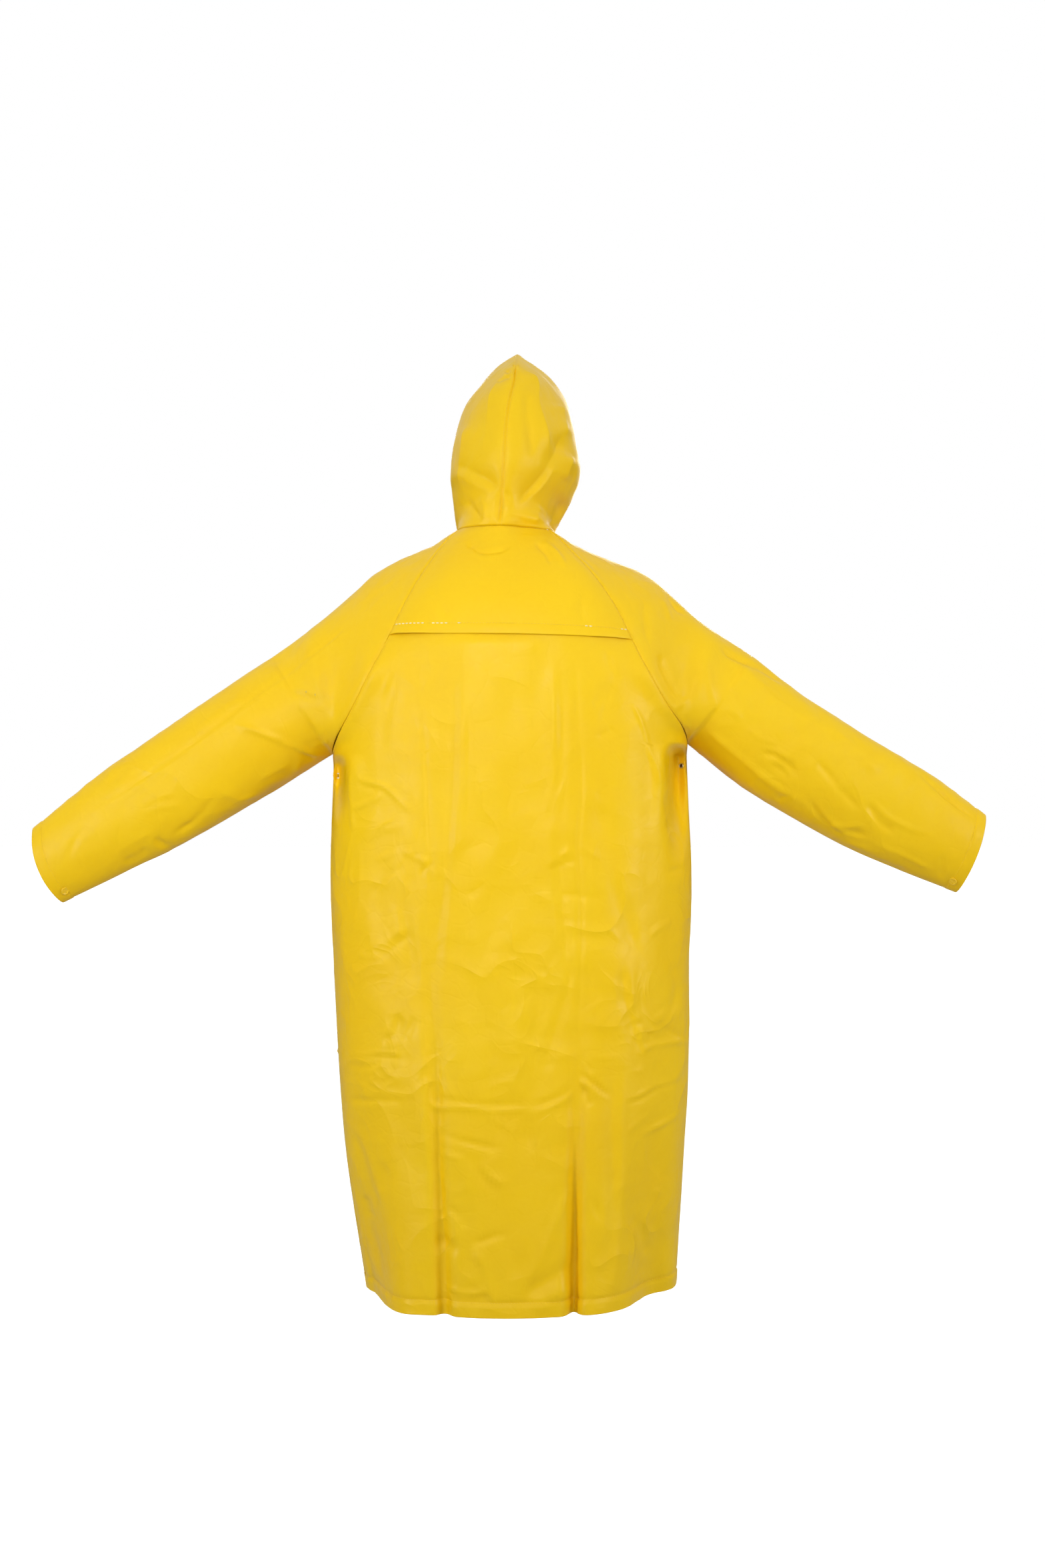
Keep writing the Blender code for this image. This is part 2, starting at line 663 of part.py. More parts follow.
# ---------------------------------------------------------------- fastenings
def on_wall(sheet, inward, row, column):
    """A place on a wall's outer face between grid points, with its outward direction."""
    r = int(row)
    c = int(column)
    a = row - r
    b = column - c
    corners = sheet[r, c], sheet[r, c + 1], sheet[r + 1, c], sheet[r + 1, c + 1]
    place = (1 - a) * ((1 - b) * corners[0] + b * corners[1]) + a * ((1 - b) * corners[2] + b * corners[3])
    across = (1 - a) * (corners[1] - corners[0]) + a * (corners[3] - corners[2])
    up = (1 - b) * (corners[2] - corners[0]) + b * (corners[3] - corners[1])
    outward = unit(np.cross(across, up))
    if np.dot(outward, inward[r, c]) > 0:
        outward = -outward
    return place, outward


def turned(name, profile, place, outward, material, steps):
    """A turned fitting: a profile spun about the outward direction, standing one seam gap off the wall."""
    mesh = bmesh.new()
    points = [mesh.verts.new((radius, 0.0, height)) for radius, height in profile]
    edges = [mesh.edges.new(pair) for pair in zip(points, points[1:])]
    if profile[0][0] > 0:
        edges.append(mesh.edges.new((points[-1], points[0])))
    bmesh.ops.spin(mesh, geom=points + edges, cent=(0, 0, 0), axis=(0, 0, 1), angle=math.tau, steps=steps,
                   use_merge=True)
    bmesh.ops.remove_doubles(mesh, verts=mesh.verts, dist=0.00002)
    bmesh.ops.recalc_face_normals(mesh, faces=mesh.faces)
    data = bpy.data.meshes.new(name)
    mesh.to_mesh(data)
    mesh.free()
    data.shade_smooth()
    piece = add_piece(name, data, material)
    piece.rotation_mode = "QUATERNION"
    piece.rotation_quaternion = Vector(outward).to_track_quat("Z", "Y")
    piece.location = Vector(place + outward * SEAM_GAP)
    return piece


def snap_profile():
    """Half section of a press stud's cap: a low disc with a rounded rim and a shallow dish."""
    rim = SNAP_RADIUS
    high = SNAP_HEIGHT
    return [
        (0.0, 0.0),
        (rim * 0.86, 0.0),
        (rim, high * 0.35),
        (rim * 0.95, high * 0.75),
        (rim * 0.78, high),
        (rim * 0.55, high * 0.86),
        (0.0, high * 0.78),
    ]


def eyelet_profile():
    """Section of an eyelet's rolled rim, a small ring."""
    return [
        (EYELET_RADIUS + EYELET_WIRE * math.cos(a), EYELET_WIRE + EYELET_WIRE * math.sin(a))
        for a in np.linspace(0, math.tau, 9)[:-1]
    ]


def build():
    cloth = plain_material("coated_cloth", YELLOW, 0.42)
    stud = plain_material("stud_plastic", SNAP_YELLOW, 0.35)
    metal = plain_material("eyelet_metal", NICKEL, 0.35, 1.0)
    back_panel(cloth)
    back_yoke(cloth)
    fronts = {side: front_panel(side, cloth)[1:] for side in ("left", "right")}
    sleeves = {side: sleeve(side, cloth)[1:] for side in ("left", "right")}
    for side in ("left", "right"):
        hood(side, cloth)
        place, outward = on_wall(*sleeves[side], *CUFF_SNAP_PLACE)
        turned("cuff_snap_" + side, snap_profile(), place, outward, stud, SNAP_STEPS)
    for number, row in enumerate(FRONT_SNAP_ROWS, start=1):
        place, outward = on_wall(*fronts["left"], row, FRONT_COLUMNS + LAP_COLUMNS / 2 + 0.5)
        turned("front_snap_%d" % number, snap_profile(), place, outward, stud, SNAP_STEPS)
    back = span_rows(range(UNDERARM + 1), BACK_COLUMNS, -1, row_middle_height)
    for side, column in (("left", EYELET_COLUMN), ("right", BACK_COLUMNS - EYELET_COLUMN)):
        place, outward = on_wall(*back, UNDERARM - EYELET_ROW_DROP, column)
        turned("vent_eyelet_" + side, eyelet_profile(), place, outward, metal, EYELET_STEPS)


for stale in list(bpy.data.objects):
    bpy.data.objects.remove(stale)
COLLECTION = bpy.data.collections.new("hooded_raincoat")
bpy.context.scene.collection.children.link(COLLECTION)
build()
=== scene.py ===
# %% [markdown]
# # A hooded raincoat of coated cloth
# A long raincoat is sewn from a few large pieces of cloth that is coated with soft plastic: a back, a yoke
# that hangs over it as a vent, two fronts, two raglan sleeves and a hood in two halves. The coat is shown
# with nobody in it, filled out as if it were worn. A solid model of it already exists, as plain walls in
# metres with +Z up and the back towards -Y. This lesson dresses that model: it makes each piece again as a
# thin, finely divided sheet on the same form, and gives it its creases, hems, stitches and finish.

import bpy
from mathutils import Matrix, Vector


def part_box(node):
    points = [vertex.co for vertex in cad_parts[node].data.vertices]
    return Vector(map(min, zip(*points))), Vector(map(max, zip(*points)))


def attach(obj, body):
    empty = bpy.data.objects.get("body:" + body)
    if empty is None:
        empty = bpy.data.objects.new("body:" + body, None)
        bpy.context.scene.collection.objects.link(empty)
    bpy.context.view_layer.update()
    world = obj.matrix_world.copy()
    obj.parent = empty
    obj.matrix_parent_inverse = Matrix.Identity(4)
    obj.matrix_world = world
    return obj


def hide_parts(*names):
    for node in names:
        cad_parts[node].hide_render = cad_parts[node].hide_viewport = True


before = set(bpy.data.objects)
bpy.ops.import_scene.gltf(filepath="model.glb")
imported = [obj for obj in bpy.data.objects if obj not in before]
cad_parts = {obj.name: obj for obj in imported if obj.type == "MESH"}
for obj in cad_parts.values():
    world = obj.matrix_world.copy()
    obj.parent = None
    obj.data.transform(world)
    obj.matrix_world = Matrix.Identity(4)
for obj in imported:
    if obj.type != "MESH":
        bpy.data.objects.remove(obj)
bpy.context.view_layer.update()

# %% [markdown]
# ## Tools
# The sheets are grids of points, which NumPy handles a whole grid at a time. Blender's own bmesh operators
# make the meshes, and its noise functions make the cloth uneven in a way that is the same on every run.

# %% Load the tools
import math

import bmesh
import bpy
import numpy as np
from mathutils import Matrix, Vector, noise

SIDES = ("left", "right")
BACK, FRONT = -1, 1
MM = 0.001

# %% [markdown]
# ## Camera
# The coat is looked at from straight behind, at the height of the wearer's waist, with a normal lens. The
# camera is made first, so that every step after this can be judged from it.

# %% Make the camera
camera_data = bpy.data.cameras.new("camera")
camera_data.sensor_fit = "VERTICAL"
camera_data.sensor_height = 36.0
camera_distance = 3.27
picture_height = 2.352
camera_data.lens = camera_distance * camera_data.sensor_height / picture_height
camera = bpy.data.objects.new("camera", camera_data)
camera.location = (0.018, -camera_distance, -0.366)
camera.rotation_euler = (math.radians(90), 0, 0)
bpy.context.scene.collection.objects.link(camera)
bpy.context.scene.camera = camera
print("lens: %.1f mm" % camera_data.lens)

# %% [markdown]
# ## The coat's form as numbers
# A tailor's pattern is a table of measures, and so is this form. Each row of the body table is a level
# section: how far it reaches to each side, to the back and to the front, and how square its corners are.
# The same numbers made the solid model, so the sheets lie where its walls are.

# %% Tables of the form
def table(columns, *rows):
    """Rows of numbers, read by column name."""
    values = np.array(rows, dtype=float)
    return {name: values[:, i] for i, name in enumerate(columns.split())}


BODY = table(
    "z       left    right   back   front  corner",
    (-1.120, -0.215, 0.248, 0.199, 0.188, 2.3),
    (-1.070, -0.223, 0.251, 0.196, 0.186, 2.3),
    (-0.990, -0.236, 0.256, 0.191, 0.182, 2.35),
    (-0.910, -0.247, 0.261, 0.187, 0.178, 2.35),
    (-0.830, -0.254, 0.266, 0.183, 0.174, 2.4),
    (-0.750, -0.259, 0.268, 0.179, 0.170, 2.4),
    (-0.630, -0.265, 0.268, 0.174, 0.165, 2.4),
    (-0.510, -0.270, 0.269, 0.172, 0.160, 2.4),
    (-0.410, -0.268, 0.267, 0.172, 0.157, 2.4),
    (-0.310, -0.266, 0.265, 0.173, 0.154, 2.4),
    (-0.250, -0.262, 0.262, 0.173, 0.152, 2.4),
    (-0.190, -0.250, 0.250, 0.172, 0.149, 2.4),
    (-0.150, -0.235, 0.235, 0.169, 0.146, 2.4),
    (-0.095, -0.200, 0.200, 0.155, 0.139, 2.4),
    (-0.045, -0.155, 0.155, 0.125, 0.120, 2.4),
    (-0.017, -0.125, 0.119, 0.103, 0.104, 2.3),
    (0.012, -0.080, 0.065, 0.075, 0.082, 2.2),
)
FRONT_DROP = table(
    "z       drop",
    (-0.310, 0.0),
    (-0.190, 0.006),
    (-0.095, 0.022),
    (-0.045, 0.038),
    (0.012, 0.060),
)
RAGLAN = table(
    "z_left  z_right back_left back_right front_left front_right",
    (-0.321, -0.305, 1.000, 1.000, 1.000, 1.000),
    (-0.293, -0.279, 0.949, 0.951, 0.955, 0.955),
    (-0.252, -0.246, 0.870, 0.866, 0.885, 0.885),
    (-0.196, -0.198, 0.790, 0.783, 0.810, 0.810),
    (-0.150, -0.153, 0.745, 0.740, 0.765, 0.765),
    (-0.098, -0.101, 0.745, 0.728, 0.745, 0.745),
    (-0.050, -0.054, 0.775, 0.705, 0.740, 0.740),
    (-0.018, -0.022, 0.810, 0.700, 0.750, 0.750),
    (0.012, 0.010, 0.920, 0.830, 0.800, 0.800),
)
SLEEVE = {
    "left": table(
        "top_x   top_z   under_x under_z depth",
        (-0.716, -0.430, -0.670, -0.543, 0.034),
        (-0.645, -0.373, -0.590, -0.504, 0.045),
        (-0.573, -0.319, -0.509, -0.464, 0.053),
        (-0.503, -0.273, -0.428, -0.420, 0.060),
        (-0.431, -0.226, -0.347, -0.370, 0.067),
        (-0.360, -0.177, -0.266, -0.321, 0.072),
    ),
    "right": table(
        "top_x   top_z   under_x under_z depth",
        (0.711, -0.413, 0.667, -0.528, 0.034),
        (0.645, -0.366, 0.588, -0.497, 0.045),
        (0.573, -0.319, 0.508, -0.463, 0.053),
        (0.503, -0.274, 0.427, -0.419, 0.060),
        (0.433, -0.229, 0.346, -0.369, 0.067),
        (0.363, -0.177, 0.2645, -0.305, 0.072),
    ),
}
SHOULDER = table(
    "left_x  left_z  right_x right_z",
    (-0.360, -0.177, 0.363, -0.177),
    (-0.295, -0.130, 0.296, -0.130),
    (-0.243, -0.090, 0.249, -0.090),
    (-0.204, -0.055, 0.204, -0.055),
    (-0.163, -0.031, 0.150, -0.034),
    (-0.113, -0.010, 0.094, -0.012),
    (-0.080, 0.012, 0.065, 0.012),
)
HOOD = table(
    "seam_x back_y  back_z left_x  right_x front_y front_z back_full side_full front_full",
    (-0.012, -0.090, 0.058, -0.086, 0.073, 0.098, 0.015, 0.70, 1.22, 0.85),
    (-0.009, -0.098, 0.110, -0.091, 0.104, 0.108, 0.090, 0.70, 1.22, 0.88),
    (-0.006, -0.092, 0.158, -0.086, 0.100, 0.115, 0.160, 0.66, 1.20, 0.90),
    (-0.001, -0.076, 0.198, -0.072, 0.092, 0.120, 0.215, 0.60, 1.10, 0.96),
    (0.005, -0.056, 0.228, -0.046, 0.068, 0.122, 0.255, 0.52, 0.98, 1.00),
    (0.007, -0.040, 0.246, -0.019, 0.040, 0.121, 0.284, 0.45, 0.82, 1.00),
    (0.008, -0.026, 0.258, 0.010, 0.010, 0.118, 0.303, 0.33, 0.67, 1.00),
)
print("body sections:", len(BODY["z"]), " hood rows:", len(HOOD["seam_x"]))

# %% [markdown]
# ## Smooth curves through the tables
# Between two rows of a table the form has to run on smoothly. A Hermite curve passes through every value
# and keeps one slope on both sides of it, so no level shows as a kink.

# %% Curves
def curve(knots, values, at):
    """The smooth curve through values at knots, read at the places given."""
    knots = np.asarray(knots, dtype=float)
    values = np.asarray(values, dtype=float)
    at = np.asarray(at, dtype=float)
    slopes = np.gradient(values, knots, axis=0)
    i = np.clip(np.searchsorted(knots, at, side="right") - 1, 0, len(knots) - 2)
    step = knots[i + 1] - knots[i]
    t = np.clip((at - knots[i]) / step, 0.0, 1.0)
    extra = (1,) * (values.ndim - 1)
    t = t.reshape(t.shape + extra)
    step = step.reshape(step.shape + extra)
    return (
        (1 + 2 * t) * (1 - t) ** 2 * values[i]
        + t * (1 - t) ** 2 * step * slopes[i]
        + t * t * (3 - 2 * t) * values[i + 1]
        + t * t * (t - 1) * step * slopes[i + 1]
    )


def along(values, at):
    """The smooth curve through evenly spaced values, read at places from 0 to len(values) - 1."""
    return curve(np.arange(len(values)), values, at)


def ease(t):
    """A smooth step from 0 to 1."""
    t = np.clip(t, 0, 1)
    return t * t * (3 - 2 * t)


def unit(vectors):
    return vectors / np.maximum(np.linalg.norm(vectors, axis=-1, keepdims=True), 1e-12)


def arc_length(points):
    """Distance from the first point to each point of a line."""
    return np.concatenate([[0], np.cumsum(np.linalg.norm(np.diff(points, axis=0), axis=1))])


def walk(line, measure, at):
    """The place on a line at a distance along it, or the places at several."""
    return np.stack([np.interp(at, measure, line[:, k]) for k in range(3)], axis=-1)


def bezier(start, start_handle, end_handle, end, t):
    """Points of a cubic at the shares t of its course."""
    t = np.asarray(t, dtype=float)[:, None]
    return (
        (1 - t) ** 3 * start
        + 3 * (1 - t) ** 2 * t * start_handle
        + 3 * (1 - t) * t * t * end_handle
        + t**3 * end
    )


# %% [markdown]
# ## Folds that belong to the form
# A long coat hangs in soft folds that start under the shoulder blades and deepen towards the hem. The solid
# model has the six largest and one lobe, with a depth below 0, and they come from the same table here. The
# two long ones on the back are drawn narrower than in the solid, because a thin cloth folds more sharply
# than a wall can.

# %% The body's surface
FOLDS = table(
    "side  top_x   hem_x   top_z   hem_depth width",
    (-1, -0.125, -0.093, -0.420, 0.014, 0.009),
    (-1, 0.102, 0.090, -0.620, 0.026, 0.010),
    (-1, 0.208, 0.204, -0.760, 0.050, 0.034),
    (-1, -0.225, -0.206, -0.760, 0.042, 0.026),
    (-1, -0.155, -0.152, -0.850, -0.014, 0.026),
    (1, -0.120, -0.105, -0.480, 0.034, 0.028),
    (1, 0.125, 0.115, -0.520, 0.038, 0.028),
)
FOLD_GROWTH = 1.7
HEM_RISE = 0.010


def body_column(name, z):
    return curve(BODY["z"], BODY[name], np.clip(z, BODY["z"][0], BODY["z"][-1]))


def fold_depth(x, z, face):
    """How far the long folds push the body's wall in at x and z."""
    depth = np.zeros(np.broadcast(x, z).shape)
    for i in np.flatnonzero(FOLDS["side"] == face):
        grown = np.clip((FOLDS["top_z"][i] - z) / (FOLDS["top_z"][i] - BODY["z"][0]), 0, 1)
        centre = FOLDS["top_x"][i] + (FOLDS["hem_x"][i] - FOLDS["top_x"][i]) * grown
        across = (x - centre) / FOLDS["width"][i]
        depth = depth + FOLDS["hem_depth"][i] * grown**FOLD_GROWTH * np.exp(-across * across)
    return depth


def body_point(z, share, face):
    """Points of the body. share runs from -1 at the left side seam to 1 at the right."""
    left, right = body_column("left", z), body_column("right", z)
    corner = body_column("corner", z)
    depth = body_column("back" if face == BACK else "front", z)
    x = (left + right) / 2 + (right - left) / 2 * share
    bulge = np.clip(1 - np.abs(share) ** corner, 0, 1) ** (1 / corner)
    y = face * depth * bulge - face * fold_depth(x, z, face) * np.minimum(1, 2.5 * bulge)
    if face == FRONT:
        z = z - curve(FRONT_DROP["z"], FRONT_DROP["drop"], np.clip(z, -0.310, 0.012)) * bulge * bulge
    return np.stack(np.broadcast_arrays(x, y, z), axis=-1)


def even_share(first, last, corner, t):
    """Shares from first to last at t, closer together where the section turns."""
    start = np.arccos(np.sign(first) * np.abs(first) ** (corner / 2))
    end = np.arccos(np.sign(last) * np.abs(last) ** (corner / 2))
    turn = np.cos(start + (end - start) * t)
    return np.sign(turn) * np.abs(turn) ** (2 / corner)


# %% [markdown]
# ## Rows and seams
# The rows of every piece are numbered alike: 0 is the hem, 14 the underarm and 26 the neck. Back, fronts
# and sleeves meet along the raglan seams, and because they all ask the same function for a seam's place,
# they meet exactly.

# %% Seams
UNDERARM, RAGLAN_ROWS = 14, 12
SIGN = {"left": -1, "right": 1}
SEAM = {BACK: "back_", FRONT: "front_"}
NECK = UNDERARM + RAGLAN_ROWS
YOKE_ROW = UNDERARM + 6
BACK_TOP_ROW = UNDERARM + 9


def seam_value(name, row):
    """A seam's height or share at a body row, which may lie between two whole rows."""
    row = np.asarray(row, dtype=float)
    upper = along(RAGLAN[name], np.clip((row - UNDERARM) / RAGLAN_ROWS, 0, 1) * 8)
    if name.startswith("z"):
        hem = BODY["z"][0] + (HEM_RISE if name == "z_right" else 0)
        lower = hem + (RAGLAN[name][0] - hem) * row / UNDERARM
    else:
        lower = np.ones_like(row)
    return np.where(row < UNDERARM, lower, upper)


def row_height(row, share):
    """Height of a body row: the right side's rows lie a little higher than the left's."""
    left = seam_value("z_left", row)
    return left + (seam_value("z_right", row) - left) * ((1 + share) / 2) ** 3


def seam_share(row, side, face):
    """How far across the body one side or raglan seam lies."""
    return SIGN[side] * seam_value(SEAM[face] + side, row)


def seam_point(row, side, face):
    """A point of one side or raglan seam."""
    share = seam_share(row, side, face)
    return body_point(row_height(row, share), share, face)


def fine_rows(start, end, per_row, *extra):
    """Row numbers from start to end, with extra ones where a hem or a stitch line needs them."""
    rows = np.linspace(start, end, int(round((end - start) * per_row)) + 1)
    gap = 0.45 / per_row
    rows = rows[[min((abs(r - e) for e in extra), default=1) > gap or r in (start, end) for r in rows]]
    return np.unique(np.concatenate([rows, [e for e in extra if start <= e <= end]]).round(6))


def fine_columns(count):
    """Shares across a piece from 0 to 1, with close columns beside both seams."""
    return np.concatenate([[0, 0.25, 0.6], np.arange(1, count), [count - 0.6, count - 0.25, count]]) / count


def free_edge_columns(count):
    """Shares from 0 at a seam, with close columns beside it, to 1 at a free edge or a top line."""
    return np.append(fine_columns(count)[:count + 2], 1.0)


def denser(places, *spans):
    """The same places, with a closer row of them in each span (first, last, count)."""
    for first, last, count in spans:
        outside = places[(places < first - 0.002) | (places > last + 0.002)]
        places = np.sort(np.concatenate([outside, np.linspace(first, last, count)]))
    return places


# %% [markdown]
# ## Body sheets
# The back and the fronts are parts of one surface. A grid of it needs only the row numbers and the shares
# across.

# %% Grids of the body and the fronts
FRONT_LAP, HOOD_END = 0.038, 0.045


def body_grid(rows, t, face):
    """Points of the body between its seams. rows holds one row number a row, or one a point."""
    row = np.asarray(rows, dtype=float)
    row = row[:, None] if row.ndim == 1 else row
    corner = body_column("corner", row_height(row, 0.0))
    left, right = (seam_share(row, side, face) for side in SIDES)
    share = even_share(left, right, corner, np.asarray(t)[None, :])
    return body_point(row_height(row, share), share, face)


def front_grid(side, rows, to_hood_end, past_centre):
    """One front: from its seam to the hood's end, then on past the centre to the lapped edge."""
    row = np.asarray(rows, dtype=float)[:, None]
    height = row_height(row, 0.0)
    right, left = body_column("right", height), body_column("left", height)
    half, middle = (right - left) / 2, (right + left) / 2
    corner = body_column("corner", height)
    first = even_share(seam_value("front_" + side, row), HOOD_END / half, corner, to_hood_end[None])
    rest = (HOOD_END - (HOOD_END + FRONT_LAP) * past_centre[None]) / half
    share = SIGN[side] * np.concatenate([first, rest], axis=1)
    share = share - middle / half * np.concatenate([to_hood_end, np.ones(len(past_centre))])[None]
    return body_point(row_height(row, share), share, FRONT)


def body_inward(z, share, face):
    """The direction into the body's wall."""
    small = 0.004
    share = np.clip(share, -0.985, 0.985)
    across = body_point(z, share + small, face) - body_point(z, share - small, face)
    up = body_point(z + small, share, face) - body_point(z - small, share, face)
    return unit(np.cross(across, up)) * face


# %% [markdown]
# ## Sleeve sheets
# A raglan sleeve is one piece of cloth from the cuff to the neck, sewn into a tube under the arm. Up to the
# underarm its rows are closed loops round the arm. Above it they open and run from the back seam over the
# shoulder to the front seam.

# %% Grids of the sleeves
SLEEVE_ROWS = 10
CUFF_BOW = {"left": 0.010, "right": 0.004}
CAP_REACH, CAP_ROWS = 0.38, 5
ARMHOLE_SQUARE = 0.22


def shoulder_point(side, share):
    """A point of the shoulder line, at a share of its length from the armhole to the neck."""
    points = np.stack([SHOULDER[side + "_x"], np.zeros(7), SHOULDER[side + "_z"]], axis=-1)
    fine = along(points, np.linspace(0, 6, 121))
    length = arc_length(fine)
    return walk(fine, length, share * length[-1])


def cap_handle(start, leave, reach, tube_depth, cap, face):
    """How far a cap row runs on before it turns to the top line. At the underarm the cap is as deep as
    the tube, and over the next rows it takes the depth of its own reach."""
    start_depth = 0.5 * face * start[1]
    per_handle = 0.375 * (1 + face * leave[1])
    own_depth = start_depth + per_handle * CAP_REACH * reach
    depth = tube_depth + (own_depth - tube_depth) * ease(cap / CAP_ROWS)
    return (depth - start_depth) / per_handle


def sleeve_row(side, row, t):
    """A sleeve row: two cubic halves that meet on the top line."""
    columns = SLEEVE[side]
    at = min(row / SLEEVE_ROWS, 1) * 5
    depth = float(along(columns["depth"], at))
    cap = row - SLEEVE_ROWS
    halves = []
    for face in (BACK, FRONT):
        straight = np.array([0.0, face, 0.0])
        if cap <= 0:
            start = np.array([along(columns["under_x"], at), 0, along(columns["under_z"], at)])
            top = np.array([along(columns["top_x"], at), 0, along(columns["top_z"], at)])
            leave, handle = straight, depth * 4 / 3
        else:
            top = shoulder_point(side, cap / RAGLAN_ROWS)
            start = seam_point(UNDERARM + cap, side, face)
            share = seam_share(UNDERARM + cap, side, face)
            inward = body_inward(row_height(UNDERARM + cap, share), share, face)
            along_body = unit(top - start - inward * np.dot(top - start, inward))
            turned = np.interp(cap, (0, 1, 2, 3, 4), (0.0, 0.3, 0.6, 0.85, 1.0))
            leave = unit((1 - turned) * straight + turned * along_body)
            handle = cap_handle(start, leave, np.linalg.norm(top - start), depth, cap, face)
        squareness = 1 + ARMHOLE_SQUARE * math.exp(-(((row - SLEEVE_ROWS) / 2.5) ** 2))
        start_handle = start + leave * handle * squareness
        top_handle = top + straight * handle * (2 - squareness)
        halves.append(bezier(start, start_handle, top_handle, top, t))
    return np.concatenate([halves[0], halves[1][-2::-1]])


def sleeve_grid(side, rows, half_columns):
    """A sleeve: columns from the back seam over the top to the front seam."""
    t = free_edge_columns(half_columns)
    sheet = np.array([sleeve_row(side, row, t) for row in rows])
    across = np.concatenate([t / 2, 1 - t[-2::-1] / 2])
    under_x, under_z = SLEEVE[side]["under_x"], SLEEVE[side]["under_z"]
    toward_cuff = unit(np.array([under_x[0] - under_x[-1], 0, under_z[0] - under_z[-1]]))
    bow = CUFF_BOW[side] * np.sin(across * math.tau) ** 2
    fade = np.interp(rows, (0, 1, 2), (1.0, 0.3, 0.0))
    return sheet + (fade[:, None] * bow[None])[..., None] * toward_cuff


# %% [markdown]
# ## Hood sheets
# Each half of the hood runs from the centre seam at the back of the head round to the face. Its lowest row
# is the neck seam, through the tops of yoke, sleeve and front, and the rows above are cubics whose fullness
# changes with height, up to the ridge over the head.

# %% Grids of the hood
def neck_line(side):
    """The neck seam from the back centre to the hood's end."""
    t = np.linspace(0, 1, 41)
    yoke = body_grid([NECK], 0.5 - t / 2 if side == "left" else 0.5 + t / 2, BACK)[0]
    over_sleeve = sleeve_row(side, SLEEVE_ROWS + RAGLAN_ROWS, t)
    front = front_grid(side, [NECK], t, np.zeros(0))[0]
    return np.concatenate([yoke, over_sleeve[1:], front[1:]])


def hood_grid(side, rows, shares):
    """Half a hood: rows from 0 at the neck seam to 7 at the ridge, shares from back seam to face."""
    neck = neck_line(side)
    length = arc_length(neck)
    lines = [walk(neck, length, shares * length[-1])]
    last = len(HOOD["seam_x"]) - 1
    for i in range(last + 1):
        row = {name: HOOD[name][i] for name in HOOD}
        reach = row[side + "_x"] - row["seam_x"]
        back = np.array([row["seam_x"], row["back_y"], row["back_z"]])
        front = np.array([row["seam_x"] + reach * row["front_full"], row["front_y"], row["front_z"]])
        run = front - back
        start_handle = back + np.array([reach * row["back_full"], run[1] * 0.06, run[2] * 0.2])
        end_handle = np.array([row["seam_x"] + reach * row["side_full"],
                               back[1] + run[1] * 0.5, back[2] + run[2] * 0.6])
        if i == last:
            start_handle = back + run * 0.33 + np.array([0.0, 0.0, 0.005])
            end_handle = back + run * 0.67 + np.array([0.0, 0.0, 0.003])
        lines.append(bezier(back, start_handle, end_handle, front, shares))
    return curve(np.arange(last + 2), np.array(lines), rows)


# %% [markdown]
# ## Creases
# Coated cloth doesn't drape like wool. It keeps the lines of its packing, and where it bends it makes
# short, firm creases with a ridge or a trough. Each one below is drawn on the coat: its kind, its
# depth and its width in millimetres, and the points it runs through. A "step" leans the cloth to one side
# of its line, a "fold" bends it sharply between two flat facets, and a "lap" drops it on the line's left,
# as where one layer lies on the next. The creases are added straight to the sheets' points, because a cloth
# simulation would lay them somewhere else each time the form changes.

# %% Crease shapes
FINEST = 3.4
TAPER = 0.22
PROFILES = {
    "ridge": lambda u: np.exp(-u * u),
    "valley": lambda u: -np.exp(-u * u),
    "step": lambda u: 2.33 * u * np.exp(-u * u),
    "fold": lambda u: np.exp(-np.abs(u)),
    "lap": lambda u: -np.exp(-np.clip(u, 0, 9)) * ease(u / 0.13),
}


def crease_line(points):
    """A crease's points joined by a smooth line, in metres."""
    points = np.array(points, dtype=float) * MM
    last = len(points) - 1
    return along(points, np.linspace(0, last, 6 * last + 1)) if last > 1 else points


def crease_field(x, z, creases, strength=1.0):
    """How far out the creases lift the cloth at x and z."""
    lift = np.zeros(x.shape)
    for number, (kind, depth, width, points) in enumerate(creases):
        width = max(width, FINEST)
        line = crease_line(points)
        pad = (5 if kind in ("fold", "lap") else 3) * width * MM
        low, high = line.min(axis=0) - pad, line.max(axis=0) + pad
        near = (x > low[0]) & (x < high[0]) & (z > low[1]) & (z < high[1])
        if not near.any():
            continue
        here = np.stack([x[near], z[near]], axis=-1)[:, None]
        a, run = line[None, :-1], np.diff(line, axis=0)[None]
        share = np.clip(np.sum((here - a) * run, axis=-1) / np.sum(run * run, axis=-1), 0, 1)
        offset = here - a - run * share[..., None]
        far = np.linalg.norm(offset, axis=-1)
        best = np.argmin(far, axis=1)
        pick = np.arange(len(best))
        side = np.sign(run[0, best, 0] * offset[pick, best, 1] - run[0, best, 1] * offset[pick, best, 0])
        place = (best + share[pick, best]) / run.shape[1]
        taper = ease(place / TAPER) * ease((1 - place) / TAPER)
        uneven = 1 + 0.28 * np.sin(9 * place + 1.7 * number)
        lift[near] += depth * MM * taper * uneven * PROFILES[kind](side * far[pick, best] / (width * MM))
    return lift * strength


def mirrored(creases, slide_x=0, slide_z=0):
    """The same creases on the coat's other side, slid a little so that the two sides aren't twins."""
    return tuple(
        (kind, -depth if kind == "step" else depth, width,
         tuple((slide_x - x, z + slide_z) for x, z in points))
        for kind, depth, width, points in creases
    )


# %% [markdown]
# ## Where the creases are on the back
# Two packing folds run down the whole back, and a level one crosses it at knee height. Short creases fan
# out from them, from the armholes and above the hem.

